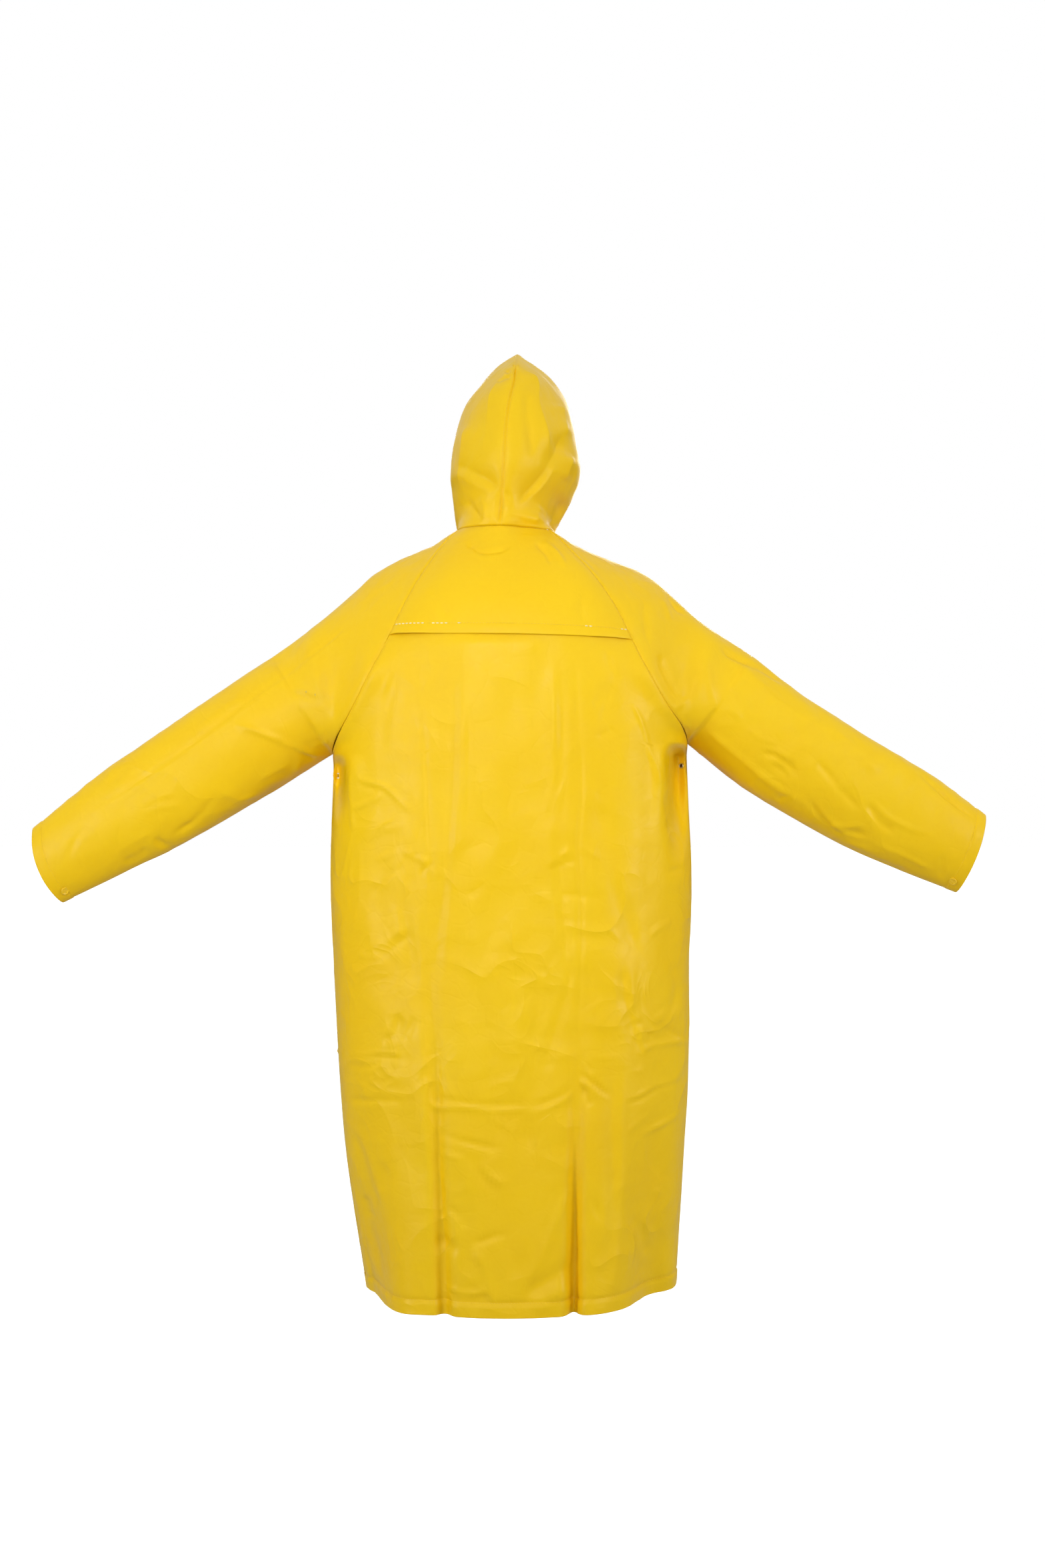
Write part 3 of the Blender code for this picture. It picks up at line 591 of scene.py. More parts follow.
# %% Back and yoke creases
BACK_CREASES = (
    ("valley", 0.7, 3, (
        (-131, -162), (-126, -246), (-119, -341), (-115, -436), (-112, -531), (-111, -626),
        (-109, -721), (-107, -807), (-105, -883), (-102, -959), (-97, -1034), (-93, -1096)
    )),
    ("lap", 1.3, 20, (
        (-118, -380), (-113, -531), (-111, -626), (-109, -721), (-107, -807), (-105, -883), (-102, -959),
        (-97, -1034), (-92, -1130)
    )),
    ("lap", 1.2, 12, ((-110, -690), (-107, -807), (-104, -900), (-98, -1025), (-90, -1150))),
    ("step", 1.3, 9, (
        (-75, -167), (-73, -275), (-75, -370), (-81, -446), (-88, -512), (-95, -579), (-99, -655)
    )),
    ("step", -1.1, 9, ((65, -171), (69, -275), (67, -370), (64, -484), (73, -578), (77, -654))),
    ("valley", 0.9, 3, (
        (93, -167), (98, -275), (103, -370), (98, -455), (102, -541), (100, -655), (95, -768)
    )),
    ("lap", 2.2, 20, ((97, -1160), (97, -1053), (97, -1006), (96, -939), (94, -844), (92, -750))),
    ("lap", 1.6, 12, ((97, -1180), (98, -1053), (97, -1006), (96, -900), (94, -800))),
    ("ridge", 0.8, 4, ((-164, -174), (-172, -207), (-182, -241))),
    ("valley", 1.0, 9, ((-160, -169), (-169, -226), (-183, -284), (-185, -341))),
    ("ridge", 1.5, 3, (
        (-228, -354), (-209, -363), (-185, -368), (-171, -377), (-158, -390), (-146, -400), (-133, -409)
    )),
    ("ridge", 1.2, 3, ((-236, -404), (-212, -395), (-197, -389), (-180, -377))),
    ("valley", 0.8, 3, ((-224, -362), (-207, -370), (-189, -374))),
    ("ridge", 0.7, 3, ((-192, -434), (-172, -430), (-150, -425))),
    ("ridge", 0.9, 3, ((-195, -476), (-177, -469), (-158, -462))),
    ("ridge", 0.9, 3, ((-158, -456), (-140, -469), (-127, -474), (-114, -481))),
    ("valley", 1.0, 3, ((-129, -496), (-119, -485), (-111, -478))),
    ("valley", 0.9, 4, ((-199, -531), (-189, -509), (-177, -487))),
    ("valley", 0.7, 3, ((-182, -496), (-167, -491), (-150, -484))),
    ("ridge", 1.0, 5, ((-205, -604), (-182, -592), (-162, -579), (-145, -566))),
    ("valley", 0.9, 5, ((-197, -617), (-177, -607), (-158, -591), (-140, -577))),
    ("valley", 1.6, 8, ((-155, -513), (-150, -570), (-142, -608), (-138, -651))),
    ("ridge", 0.8, 4, ((-222, -609), (-205, -616), (-185, -613))),
    ("step", 0.8, 3, ((-240, -764), (-212, -759), (-182, -755), (-148, -758))),
    ("valley", 1.1, 3, ((-238, -775), (-212, -775), (-185, -767))),
    ("valley", 1.6, 4, ((-242, -828), (-212, -824), (-182, -821), (-151, -820))),
    ("valley", 1.4, 6, ((-187, -737), (-171, -729), (-163, -714), (-158, -694))),
    ("valley", 1.0, 4, ((-155, -735), (-145, -720), (-136, -696))),
    ("ridge", 0.6, 3, ((-182, -780), (-169, -784), (-158, -792))),
    ("step", 1.0, 9, ((-230, -863), (-214, -900), (-201, -941), (-184, -985))),
    ("valley", 1.5, 7, ((-217, -968), (-209, -988), (-205, -1002))),
    ("step", -1.2, 9, ((-225, -959), (-212, -1015), (-197, -1066), (-186, -1103))),
    ("valley", 1.2, 9, ((-187, -906), (-182, -930), (-183, -954))),
    ("ridge", 1.3, 3.5, ((-117, -815), (-105, -826), (-71, -825), (-33, -828), (5, -829), (33, -827))),
    ("valley", 1.0, 3.5, ((-111, -809), (-71, -817), (-24, -821), (24, -820))),
    ("ridge", 1.3, 3.5, ((33, -832), (52, -827), (73, -817), (92, -806))),
    ("valley", 1.3, 4, ((31, -820), (52, -817), (76, -806), (92, -793))),
    ("ridge", 0.8, 2.5, ((41, -758), (64, -756), (88, -753))),
    ("ridge", 1.2, 3, ((-104, -888), (-85, -894), (-64, -899))),
    ("valley", 1.4, 3, ((-104, -861), (-73, -870), (-50, -876), (-28, -880), (-8, -883))),
    ("ridge", 1.1, 3, ((-35, -820), (-24, -838), (-7, -852), (16, -860))),
    ("valley", 1.1, 5, ((-28, -730), (-30, -768), (-26, -806), (-16, -844), (-7, -877))),
    ("ridge", 1.5, 4, ((-45, -899), (-32, -917), (-19, -927), (-5, -937))),
    ("valley", 1.1, 5, ((-52, -889), (-45, -912), (-30, -934), (-16, -948))),
    ("ridge", 1.0, 3, ((3, -779), (14, -802), (26, -825), (37, -845))),
    ("ridge", 0.8, 3, ((-30, -798), (-14, -790), (5, -787))),
    ("valley", 1.2, 6, ((5, -806), (24, -862), (33, -891))),
    ("valley", 1.7, 4, ((-59, -1015), (-38, -1012), (-18, -1003), (3, -1007))),
    ("ridge", 1.5, 5, ((-51, -1020), (-42, -1038), (-33, -1057), (-27, -1082), (-21, -1111))),
    ("valley", 1.6, 6, ((-7, -1005), (3, -1033), (8, -1069))),
    ("valley", 2.2, 8, ((-104, -1006), (-88, -1021), (-71, -1026))),
    ("valley", 1.2, 6, ((-92, -964), (-71, -979), (-62, -996))),
    ("step", 1.2, 5, ((-96, -1084), (-62, -1090), (-28, -1086))),
    ("valley", 1.3, 4, ((-62, -1073), (-38, -1088), (-26, -1099))),
    ("ridge", 1.3, 6, ((92, -935), (77, -958), (66, -986), (47, -1031), (24, -1071), (-1, -1106))),
    ("valley", 2.2, 11, ((16, -1094), (45, -1071), (69, -1056), (94, -1046))),
    ("ridge", 1.9, 11, ((29, -1109), (60, -1092), (88, -1080))),
    ("valley", 2.4, 2.6, ((96, -776), (114, -788), (128, -800), (145, -813))),
    ("ridge", 1.2, 3, ((92, -784), (111, -795), (128, -807), (142, -819))),
    ("valley", 1.6, 2.5, ((101, -795), (109, -811), (117, -823))),
    ("valley", 1.0, 3, ((107, -764), (121, -775))),
    ("ridge", 0.8, 2.5, ((113, -753), (136, -756), (159, -755))),
    ("step", 0.9, 4, ((155, -820), (187, -815), (211, -805), (237, -801), (256, -797))),
    ("ridge", 1.7, 3, ((183, -750), (211, -742), (237, -742), (266, -744))),
    ("ridge", 0.8, 2.5, ((170, -774), (194, -779))),
    ("ridge", 1.7, 3, ((183, -871), (211, -863), (232, -856), (262, -843))),
    ("ridge", 0.8, 3, ((165, -864), (182, -853), (203, -841))),
    ("valley", 2.0, 3, ((181, -704), (194, -718), (210, -733))),
    ("valley", 1.2, 3, ((208, -714), (237, -726), (266, -744))),
    ("ridge", 0.9, 3, ((204, -708), (219, -701), (231, -691))),
    ("step", 1.5, 9, ((165, -618), (170, -671), (180, -710), (194, -773))),
    ("valley", 1.6, 7, ((237, -622), (245, -661), (239, -709))),
    ("valley", 1.5, 5, ((113, -948), (123, -971), (132, -990))),
    ("step", 1.3, 11, ((161, -747), (153, -818), (153, -913), (151, -989), (143, -1056), (133, -1101))),
    ("valley", 1.3, 6, ((172, -982), (187, -1021), (201, -1052))),
    ("ridge", 1.7, 2.6, (
        (174, -246), (185, -269), (194, -293), (201, -317), (211, -341), (219, -365), (226, -394)
    )),
    ("valley", 2.2, 2.6, ((224, -381), (231, -413), (237, -438), (249, -456))),
    ("ridge", 1.1, 2.5, ((215, -325), (223, -351), (230, -384))),
    ("valley", 1.3, 7, ((138, -168), (144, -194), (151, -217), (141, -254), (130, -286))),
    ("ridge", 1.1, 3.5, ((157, -217), (146, -246), (135, -277))),
    ("valley", 0.9, 5, ((117, -261), (130, -241), (145, -219))),
    ("valley", 0.9, 4, ((125, -301), (138, -292), (150, -286))),
    ("valley", 1.7, 12, ((128, -322), (136, -436), (152, -513), (172, -580), (179, -628))),
    ("valley", 1.4, 4, ((69, -368), (61, -400), (58, -427))),
    ("ridge", 1.0, 3.5, ((77, -366), (69, -389), (67, -412))),
    ("ridge", 1.0, 3, ((55, -486), (69, -470), (88, -459))),
    ("valley", 0.9, 3, ((54, -489), (76, -480), (98, -474))),
    ("ridge", 1.0, 2.5, ((96, -450), (109, -460), (124, -470), (130, -478))),
    ("valley", 0.8, 2.5, ((64, -527), (90, -524), (114, -528), (134, -527))),
    ("ridge", 0.8, 4, ((39, -479), (45, -517), (53, -542))),
    ("valley", 1.9, 6, ((88, -609), (83, -654), (69, -702), (58, -741), (48, -796))),
    ("valley", 1.0, 4, ((107, -617), (119, -655), (134, -695))),
    ("ridge", 1.0, 3.5, ((133, -568), (157, -587), (177, -603))),
    ("ridge", 0.9, 3.5, ((237, -564), (222, -572), (198, -585))),
    ("valley", 1.0, 5, ((223, -496), (241, -492), (262, -491))),
    ("valley", 1.0, 7, ((-62, -247), (-57, -341), (-62, -436))),
    ("valley", 0.8, 4, ((-62, -526), (-47, -517), (-38, -504))),
    ("valley", 0.9, 6, ((-12, -559), (0, -597), (5, -626))),
    ("ridge", 0.7, 5, ((-222, -437), (-219, -515), (-228, -583))),
    ("ridge", 1.6, 3.5, ((-233, -339), (-234, -370), (-232, -404), (-230, -438))),
)
YOKE_CREASES = (
    ("valley", 1.0, 3, ((-63, -10), (-56, -21), (-43, -31), (-19, -29), (6, -15))),
    ("ridge", 0.8, 3, ((-60, -18), (-48, -32), (-31, -37), (-9, -31))),
    ("ridge", 1.0, 4, ((45, -11), (60, -21), (73, -38), (81, -55))),
    ("valley", 0.9, 4, ((36, -13), (52, -30), (60, -49))),
    ("valley", 0.7, 5, ((-119, -85), (-100, -109), (-88, -133))),
    ("valley", 0.7, 6, ((109, -85), (102, -113), (107, -138))),
)

# %% [markdown]
# ## Where the creases are on the sleeves
# A sleeve that hangs out from the body creases most along its underside, and a long soft fold from packing
# runs from shoulder to cuff.

# %% Sleeve creases
LEFT_SLEEVE_CREASES = (
    ("ridge", 1.9, 3, (
        (-413, -278), (-385, -285), (-361, -293), (-336, -303), (-311, -315), (-292, -321), (-272, -326)
    )),
    ("valley", 1.5, 3, ((-325, -311), (-306, -323), (-290, -330))),
    ("step", 1.0, 3, ((-335, -228), (-306, -232), (-287, -238), (-262, -240))),
    ("step", -0.8, 3, (
        (-649, -420), (-558, -370), (-459, -303), (-371, -237), (-321, -202), (-262, -158), (-238, -135)
    )),
    ("ridge", 1.2, 8, ((-462, -293), (-440, -269), (-415, -250), (-390, -238))),
    ("ridge", 1.1, 3, ((-434, -375), (-415, -383), (-400, -388), (-385, -383), (-373, -377))),
    ("valley", 1.0, 4, ((-463, -407), (-445, -395), (-429, -379))),
    ("valley", 1.6, 4, ((-507, -445), (-474, -425), (-459, -411), (-438, -399))),
    ("ridge", 0.8, 3, ((-546, -397), (-519, -385), (-492, -379))),
    ("ridge", 0.8, 3, ((-542, -411), (-514, -400), (-484, -397))),
    ("valley", 2.0, 5, ((-530, -445), (-516, -456), (-501, -458))),
    ("valley", 1.2, 5, ((-578, -484), (-553, -472), (-536, -459))),
    ("ridge", 1.0, 5, ((-590, -471), (-558, -451), (-526, -434))),
    ("valley", 0.8, 5, ((-655, -482), (-647, -454), (-630, -432))),
    ("ridge", 1.2, 2.6, ((-321, -350), (-314, -337), (-311, -328))),
    ("ridge", 1.0, 3, ((-296, -312), (-282, -307), (-265, -303))),
    ("ridge", 0.8, 3, ((-306, -303), (-287, -297), (-265, -287))),
    ("valley", 0.9, 3, ((-400, -394), (-376, -388), (-351, -370), (-329, -358))),
    ("ridge", 1.0, 3, ((-371, -358), (-351, -348), (-329, -336))),
    ("valley", 0.8, 8, ((-366, -192), (-331, -168), (-292, -133))),
    ("valley", 0.7, 6, ((-607, -380), (-592, -360), (-578, -345))),
)
RIGHT_SLEEVE_CREASES = (
    ("valley", 3.0, 4.5, ((308, -161), (328, -178), (354, -190), (384, -202), (415, -223))),
    ("valley", 2.2, 3.5, ((233, -84), (243, -99), (261, -115))),
    ("valley", 2.0, 3.2, ((602, -346), (635, -375), (665, -400), (695, -421))),
    ("ridge", 1.3, 3, ((233, -258), (246, -252), (263, -241))),
    ("ridge", 1.0, 3, ((245, -275), (255, -281), (267, -283))),
    ("valley", 1.3, 5, ((197, -96), (194, -118), (197, -143), (202, -171))),
    ("valley", 2.3, 6, ((215, -175), (225, -202), (237, -230))),
    ("valley", 1.2, 4, ((234, -222), (243, -236), (257, -240))),
    ("ridge", 1.0, 4, ((223, -92), (232, -109), (236, -128))),
    ("ridge", 1.0, 6, ((278, -175), (290, -202), (295, -227), (299, -250))),
    ("ridge", 1.4, 7, ((288, -141), (330, -183), (359, -212), (389, -237), (428, -266), (468, -284))),
    ("ridge", 1.1, 7, ((468, -279), (507, -311), (527, -332), (549, -352))),
    ("ridge", 1.8, 5, (
        (285, -283), (305, -301), (330, -321), (354, -340), (379, -360), (409, -380), (442, -400)
    )),
    ("ridge", 1.6, 5, ((442, -398), (468, -419), (492, -439), (517, -459), (561, -478))),
    ("valley", 1.9, 4, ((434, -382), (458, -413), (487, -439), (525, -459))),
    ("valley", 1.5, 4, ((364, -321), (389, -325), (409, -338), (426, -358))),
    ("ridge", 1.0, 3, ((369, -313), (393, -319), (414, -332))),
    ("valley", 1.2, 3, ((379, -336), (399, -346), (412, -360))),
    ("valley", 1.6, 6, ((450, -327), (468, -350), (495, -383), (521, -407))),
    ("ridge", 1.2, 3.2, ((470, -427), (497, -429), (527, -427))),
    ("valley", 1.2, 3.2, ((478, -439), (507, -439), (533, -445))),
    ("ridge", 1.1, 4, ((533, -386), (556, -413), (594, -433), (627, -439))),
    ("valley", 1.4, 5, ((527, -392), (543, -419), (571, -441))),
    ("ridge", 1.0, 3, ((543, -457), (586, -473), (629, -494))),
    ("valley", 1.3, 4, ((517, -471), (556, -486), (598, -498))),
    ("valley", 1.0, 4, ((315, -222), (335, -247), (349, -276))),
    ("ridge", 0.9, 4, ((349, -281), (369, -299), (395, -307))),
    ("ridge", 0.9, 3, ((298, -254), (322, -258), (341, -271))),
    ("valley", 1.0, 8, ((418, -202), (453, -252), (464, -276))),
    ("valley", 1.2, 4, ((394, -390), (407, -384), (418, -386))),
    ("valley", 1.1, 4, ((639, -469), (641, -488), (643, -506))),
)
print("creases:", sum(map(len, (BACK_CREASES, YOKE_CREASES, LEFT_SLEEVE_CREASES, RIGHT_SLEEVE_CREASES))))

# %% [markdown]
# ## Uneven cloth
# No real coat is as smooth as a curve. Long, low swells run down the body and along the sleeves, and a
# finer crumple lies over everything. Blender's own noise gives both, from fixed places, so that each run is
# the same.

# %% Noise, seams and the direction out of a sheet
def unevenness(sheet, size, depth, place):
    """Swells of the given size (along X, Y, Z) and depth."""
    scaled = sheet.reshape(-1, 3) / np.array(size) + place
    values = np.array([noise.noise(Vector(p)) for p in scaled.tolist()])
    return depth * values.reshape(sheet.shape[:2])


def crumple(sheet, size, depth, place):
    """Short, sharp-edged crumples, in patches."""
    scaled = sheet.reshape(-1, 3) / size + place
    values = []
    for p in scaled.tolist():
        patch = 0.5 + 0.5 * noise.noise(Vector(p) * 0.23)
        values.append((abs(noise.noise(Vector(p))) - 0.18) * patch)
    return -depth * np.array(values).reshape(sheet.shape[:2])


def outward(sheet, face=None):
    """Directions out of a sheet: to its own face on the body, elsewhere away from the middle of each row."""
    normal = unit(np.cross(np.gradient(sheet, axis=1), np.gradient(sheet, axis=0)))
    if face is None:
        sign = np.sum(normal * (sheet - sheet.mean(axis=1, keepdims=True)))
    else:
        sign = np.sum(normal[..., 1]) * face
    return normal * np.sign(sign)


def edge_distance(sheet, edge):
    """Distance of every point from one edge of its sheet, along its row or column."""
    if edge in ("bottom", "top"):
        return edge_distance(sheet.swapaxes(0, 1), {"bottom": "start", "top": "end"}[edge]).T
    steps = np.linalg.norm(np.diff(sheet, axis=1), axis=-1)
    length = np.concatenate([np.zeros((sheet.shape[0], 1)), np.cumsum(steps, axis=1)], axis=1)
    return length if edge == "start" else length[:, -1:] - length


SEAM_HOLD = 0.008
SEAM_DIP, SEAM_WIDTH = 0.0014, 0.0024
UNDERARM_CALM = 0.055
UNDERARMS = [(SLEEVE[side]["under_x"][-1], 0.0, SLEEVE[side]["under_z"][-1]) for side in SIDES]


def held_by_seams(sheet, edges):
    """0 on the sewn edges and 1 away from them: a seam is stiff and holds the creases back."""
    hold = np.ones(sheet.shape[:2])
    for edge in edges:
        hold = hold * (1 - np.exp(-((edge_distance(sheet, edge) / SEAM_HOLD) ** 2)))
    return hold


def seam_dip(sheet, edges):
    """The cloth dips to the stitching of a seam."""
    dip = np.zeros(sheet.shape[:2])
    for edge in edges:
        dip = dip + SEAM_DIP * np.exp(-((edge_distance(sheet, edge) / SEAM_WIDTH) ** 2))
    for point in UNDERARMS:
        dip = dip * (1 - np.exp(-((np.linalg.norm(sheet - point, axis=-1) / UNDERARM_CALM) ** 2)))
    return dip


# %% [markdown]
# ## Studs and eyelets hold the cloth flat
# Round a press stud or an eyelet the cloth is pinched between metal or plastic discs, so the creases fade
# out there.

# %% Places of the fittings
STUD_NODES = ["front_snap_%d" % n for n in range(1, 6)] + ["cuff_snap_left", "cuff_snap_right"]
EYELET_NODES = ["vent_eyelet_left", "vent_eyelet_right"]


def node_centre(node):
    low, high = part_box(node)
    return np.array((low + high) / 2)


FITTINGS = np.array([node_centre(node) for node in STUD_NODES + EYELET_NODES])


FITTING_CALM = 0.013


def calm_at_fittings(sheet):
    """0 at each stud and eyelet and 1 away from them."""
    calm = np.ones(sheet.shape[:2])
    for centre in FITTINGS:
        calm = calm * (1 - np.exp(-(np.linalg.norm(sheet - centre, axis=-1) / FITTING_CALM) ** 2))
    return calm


print("fittings:", len(FITTINGS))


# %% [markdown]
# ## Hollows under the arms
# Where a raised arm meets the side, the slack cloth falls into a deep hollow beside a swelling of the back.
# Back and front are pushed forward by the same measure at the side seam, so the seam stays closed. Above it
# the slack bridges the corner between back and sleeve, and there too both sheets move by the same measure
# at their seam.

# %% The hollow at one side, and the cloth over the armhole
BRIDGE, BRIDGE_REACH = 0.015, 0.030
SWELLING_BESIDE, SWELLING_WIDTH = 0.025, 0.014


def bridged_armhole(sheet, side, edge):
    """Brings the cloth beside a back raglan seam out towards the eye, most just above the underarm."""
    seam_z = sheet[:, :1, 2] if edge == "start" else sheet[:, -1:, 2]
    reach = ease((seam_z - SLEEVE[side]["under_z"][-1]) / 0.03) * ease((-0.160 - seam_z) / 0.06)
    moved = sheet.copy()
    moved[..., 1] -= BRIDGE * reach * np.exp(-((edge_distance(sheet, edge) / BRIDGE_REACH) ** 2))
    return moved


HOLLOWS = {
    "left": dict(centre=0.012, width=0.011, depth=0.050, swelling=0.006, top=-0.321, bottom=-0.430),
    "right": dict(centre=0.017, width=0.017, depth=0.080, swelling=0.011, top=-0.305, bottom=-0.500),
}


def side_hollow(sheet, side, edge, face):
    """Pushes the cloth beside one side seam forward, out of sight of the light."""
    centre, width, depth, swelling, top, bottom = HOLLOWS[side].values()
    z = sheet[..., 2]
    seam_x = sheet[:, :1, 0] if edge == "start" else sheet[:, -1:, 0]
    inward = np.abs(sheet[..., 0] - seam_x)
    reach = ease((top - z) / 0.020) * ease((z - bottom) / (top - bottom - 0.03))
    at_seam = math.exp(-((centre / width) ** 2))
    if face == BACK:
        push = depth * np.exp(-(((inward - centre) / width) ** 2))
        push -= swelling * np.exp(-(((inward - centre - SWELLING_BESIDE) / SWELLING_WIDTH) ** 2))
    else:
        push = depth * at_seam * np.exp(-((inward / width) ** 2))
    moved = sheet.copy()
    moved[..., 1] += push * reach
    return moved


# %% [markdown]
# ## Slack at the neck
# Left of the centre the cloth hangs slack over the neck seam and fills the hollow there. The same push,
# worked out from the place alone, goes to every sheet that meets at the neck, so the seam stays closed.

# %% Slack over the neck seam
NECK_SLACK, SLACK_HEIGHT = 0.012, 0.018


def neck_slack(sheet):
    """Pushes the cloth by the neck seam back, towards the eye, left of the centre."""
    x, y, z = sheet[..., 0], sheet[..., 1], sheet[..., 2]
    level = np.exp(-(((z - BODY["z"][-1]) / SLACK_HEIGHT) ** 2))
    moved = sheet.copy()
    moved[..., 1] -= NECK_SLACK * level * ease((0.022 - x) / 0.034) * ease(-y / 0.05)
    return moved


# %% [markdown]
# ## Turned edges
# Hem, cuffs and front edges are turned in and stitched down. On a sheet that is a few more lines of points:
# they run from the edge back up on the inside, two cloth thicknesses in, so the fold is real and closes the
# edge.

# %% Turning an edge in
CLOTH = 0.0008
TURN_GAP = 0.0010


def turned_in(sheet, out, depth):
    """The sheet with its first rows folded in by depth, and the directions out of its cloth."""
    steps = np.linalg.norm(np.diff(sheet, axis=0), axis=-1).mean(axis=1)
    distance = np.concatenate([[0], np.cumsum(steps)])
    count = int(np.searchsorted(distance, depth))
    inner = sheet[1:count + 1] - out[1:count + 1] * TURN_GAP
    down = unit(sheet[0] - sheet[1])
    edge = sheet[0] - out[0] * TURN_GAP / 2 + down * TURN_GAP / 2
    fold = sheet[:1] - out[:1] * TURN_GAP + down * TURN_GAP * 0.2
    folded = np.concatenate([inner[::-1], fold, edge[None], sheet])
    return folded, np.concatenate([-out[:count + 2], out])


def hem_relief(distance, depth, lift=0.0010, groove=0.0013):
    """A turned hem is thicker than the cloth over it, and its stitch line draws a groove."""
    thick = lift * (1 - ease((distance - depth + 0.003) / 0.003))
    line = groove * np.exp(-(((distance - depth + 0.001) / 0.0019) ** 2))
    return thick - line


# %% [markdown]
# ## Finish of the cloth
# The cloth is a soft plastic film on a knitted backing. The film is a strong yellow with a low gloss.
# Looked at closely it has a fine leather-like grain, weak crinkles that catch the light and, in patches and
# most towards the hem, sharper ridged wrinkles. Colour and gloss vary a little over the coat. The pattern
# is read from Object coordinates, so it has the same scale on every piece.

# %% Helpers for materials
def new_material(name):
    material = bpy.data.materials.new(name)
    material.use_nodes = True
    tree = material.node_tree
    return material, tree, tree.nodes["Principled BSDF"]


def feed(tree, node, inputs):
    """Gives a node's inputs their values or links."""
    for name, value in inputs.items():
        if isinstance(value, bpy.types.NodeSocket):
            tree.links.new(value, node.inputs[name])
        else:
            node.inputs[name].default_value = value


def add(tree, kind, inputs=None, **settings):
    """A node with its settings and the values or links of its inputs."""
    node = tree.nodes.new(kind)
    for name, value in settings.items():
        setattr(node, name, value)
    feed(tree, node, inputs or {})
    return node


def noise_at(tree, place, scale, detail, **inputs):
    """A noise texture read at a place."""
    return add(tree, "ShaderNodeTexNoise", {"Vector": place, "Scale": scale, "Detail": detail, **inputs})


def combined(tree, operation, first, second):
    """The sum or product of two numbers."""
    return add(tree, "ShaderNodeMath", {0: first, 1: second}, operation=operation).outputs[0]


def ramp(tree, factor, low, high, from_value, to_value):
    """A number that goes from low to high as the factor goes from from_value to to_value."""
    node = add(tree, "ShaderNodeMapRange", {"Value": factor, "From Min": from_value, "From Max": to_value,
                                            "To Min": low, "To Max": high})
    return node.outputs["Result"]


def blend_colours(tree, factor, first, second):
    """The first colour where the factor is 0 and the second where it is 1."""
    node = add(tree, "ShaderNodeMix", {0: factor, 6: first, 7: second}, data_type="RGBA")
    return node.outputs[2]


def bumps(tree, *layers):
    """Layers of relief (height, strength, distance), each laid on the one before."""
    normal = {}
    for height, strength, distance in layers:
        bump = add(tree, "ShaderNodeBump",
                   {"Height": height, "Strength": strength, "Distance": distance, **normal})
        normal = {"Normal": bump.outputs["Normal"]}
    return bump.outputs["Normal"]

# %% Coated face of the cloth
def coated_cloth():
    material, tree, shader = new_material("coated_cloth")
    place = add(tree, "ShaderNodeTexCoord").outputs["Object"]
    tone = noise_at(tree, place, 5.0, 3.0, Roughness=0.6).outputs["Fac"]
    fleck = noise_at(tree, place, 160.0, 2.0).outputs["Fac"]
    yellow = blend_colours(tree, ramp(tree, tone, 0.0, 1.0, 0.3, 0.7), (0.910, 0.588, 0.004, 1),
                           (0.895, 0.555, 0.003, 1))
    yellow = blend_colours(tree, ramp(tree, fleck, 0.0, 0.12, 0.45, 0.75), yellow, (0.93, 0.655, 0.010, 1))

    wrinkles = add(tree, "ShaderNodeTexNoise", noise_type="RIDGED_MULTIFRACTAL", normalize=False)
    feed(tree, wrinkles, {"Vector": place, "Scale": 13.0, "Detail": 1.5, "Roughness": 0.35, "Lacunarity": 2.6,
                          "Distortion": 0.7, "Offset": 1.0, "Gain": 1.0})
    height = add(tree, "ShaderNodeSeparateXYZ", {"Vector": place}).outputs["Z"]
    patches = noise_at(tree, place, 7.0, 1.0).outputs["Fac"]
    where = combined(tree, "MULTIPLY", ramp(tree, height, 1.0, 0.25, -0.75, -0.20),
                     ramp(tree, patches, 0.15, 1.0, 0.42, 0.62))
    sharp = combined(tree, "MULTIPLY", wrinkles.outputs["Fac"], where)

    crinkle = noise_at(tree, place, 46.0, 4.0, Roughness=0.55, Distortion=0.4).outputs["Fac"]
    sway = noise_at(tree, place, 14.0, 2.0).outputs["Color"]
    sway = add(tree, "ShaderNodeVectorMath", {0: sway, 1: (0.045, 0.045, 0.045)}, operation="MULTIPLY")
    bent = add(tree, "ShaderNodeVectorMath", {0: place, 1: sway.outputs[0]}, operation="ADD").outputs[0]
    cells = add(tree, "ShaderNodeTexVoronoi", {"Vector": bent, "Scale": 34.0}, feature="DISTANCE_TO_EDGE")
    lines = combined(tree, "MULTIPLY", ramp(tree, cells.outputs["Distance"], 0.0, 1.0, 0.0, 0.09), 0.35)
    relief = combined(tree, "ADD", crinkle, lines)
    grain = noise_at(tree, place, 1300.0, 2.0, Roughness=0.6).outputs["Fac"]
    feed(tree, shader, {
        "Base Color": yellow,
        "Roughness": ramp(tree, crinkle, 0.36, 0.50, 0.3, 0.7),
        "Normal": bumps(tree, (sharp, 1.0, 0.0030), (relief, 0.22, 0.0012), (grain, 0.16, 0.00025)),
        "Specular IOR Level": 0.25,
    })
    return material

# %% [markdown]
# The inside of the cloth is its backing, a fine knit in paler yellow. Its rows of loops follow the cut of
# each piece, so they are read from the piece's UV map, which is in metres.

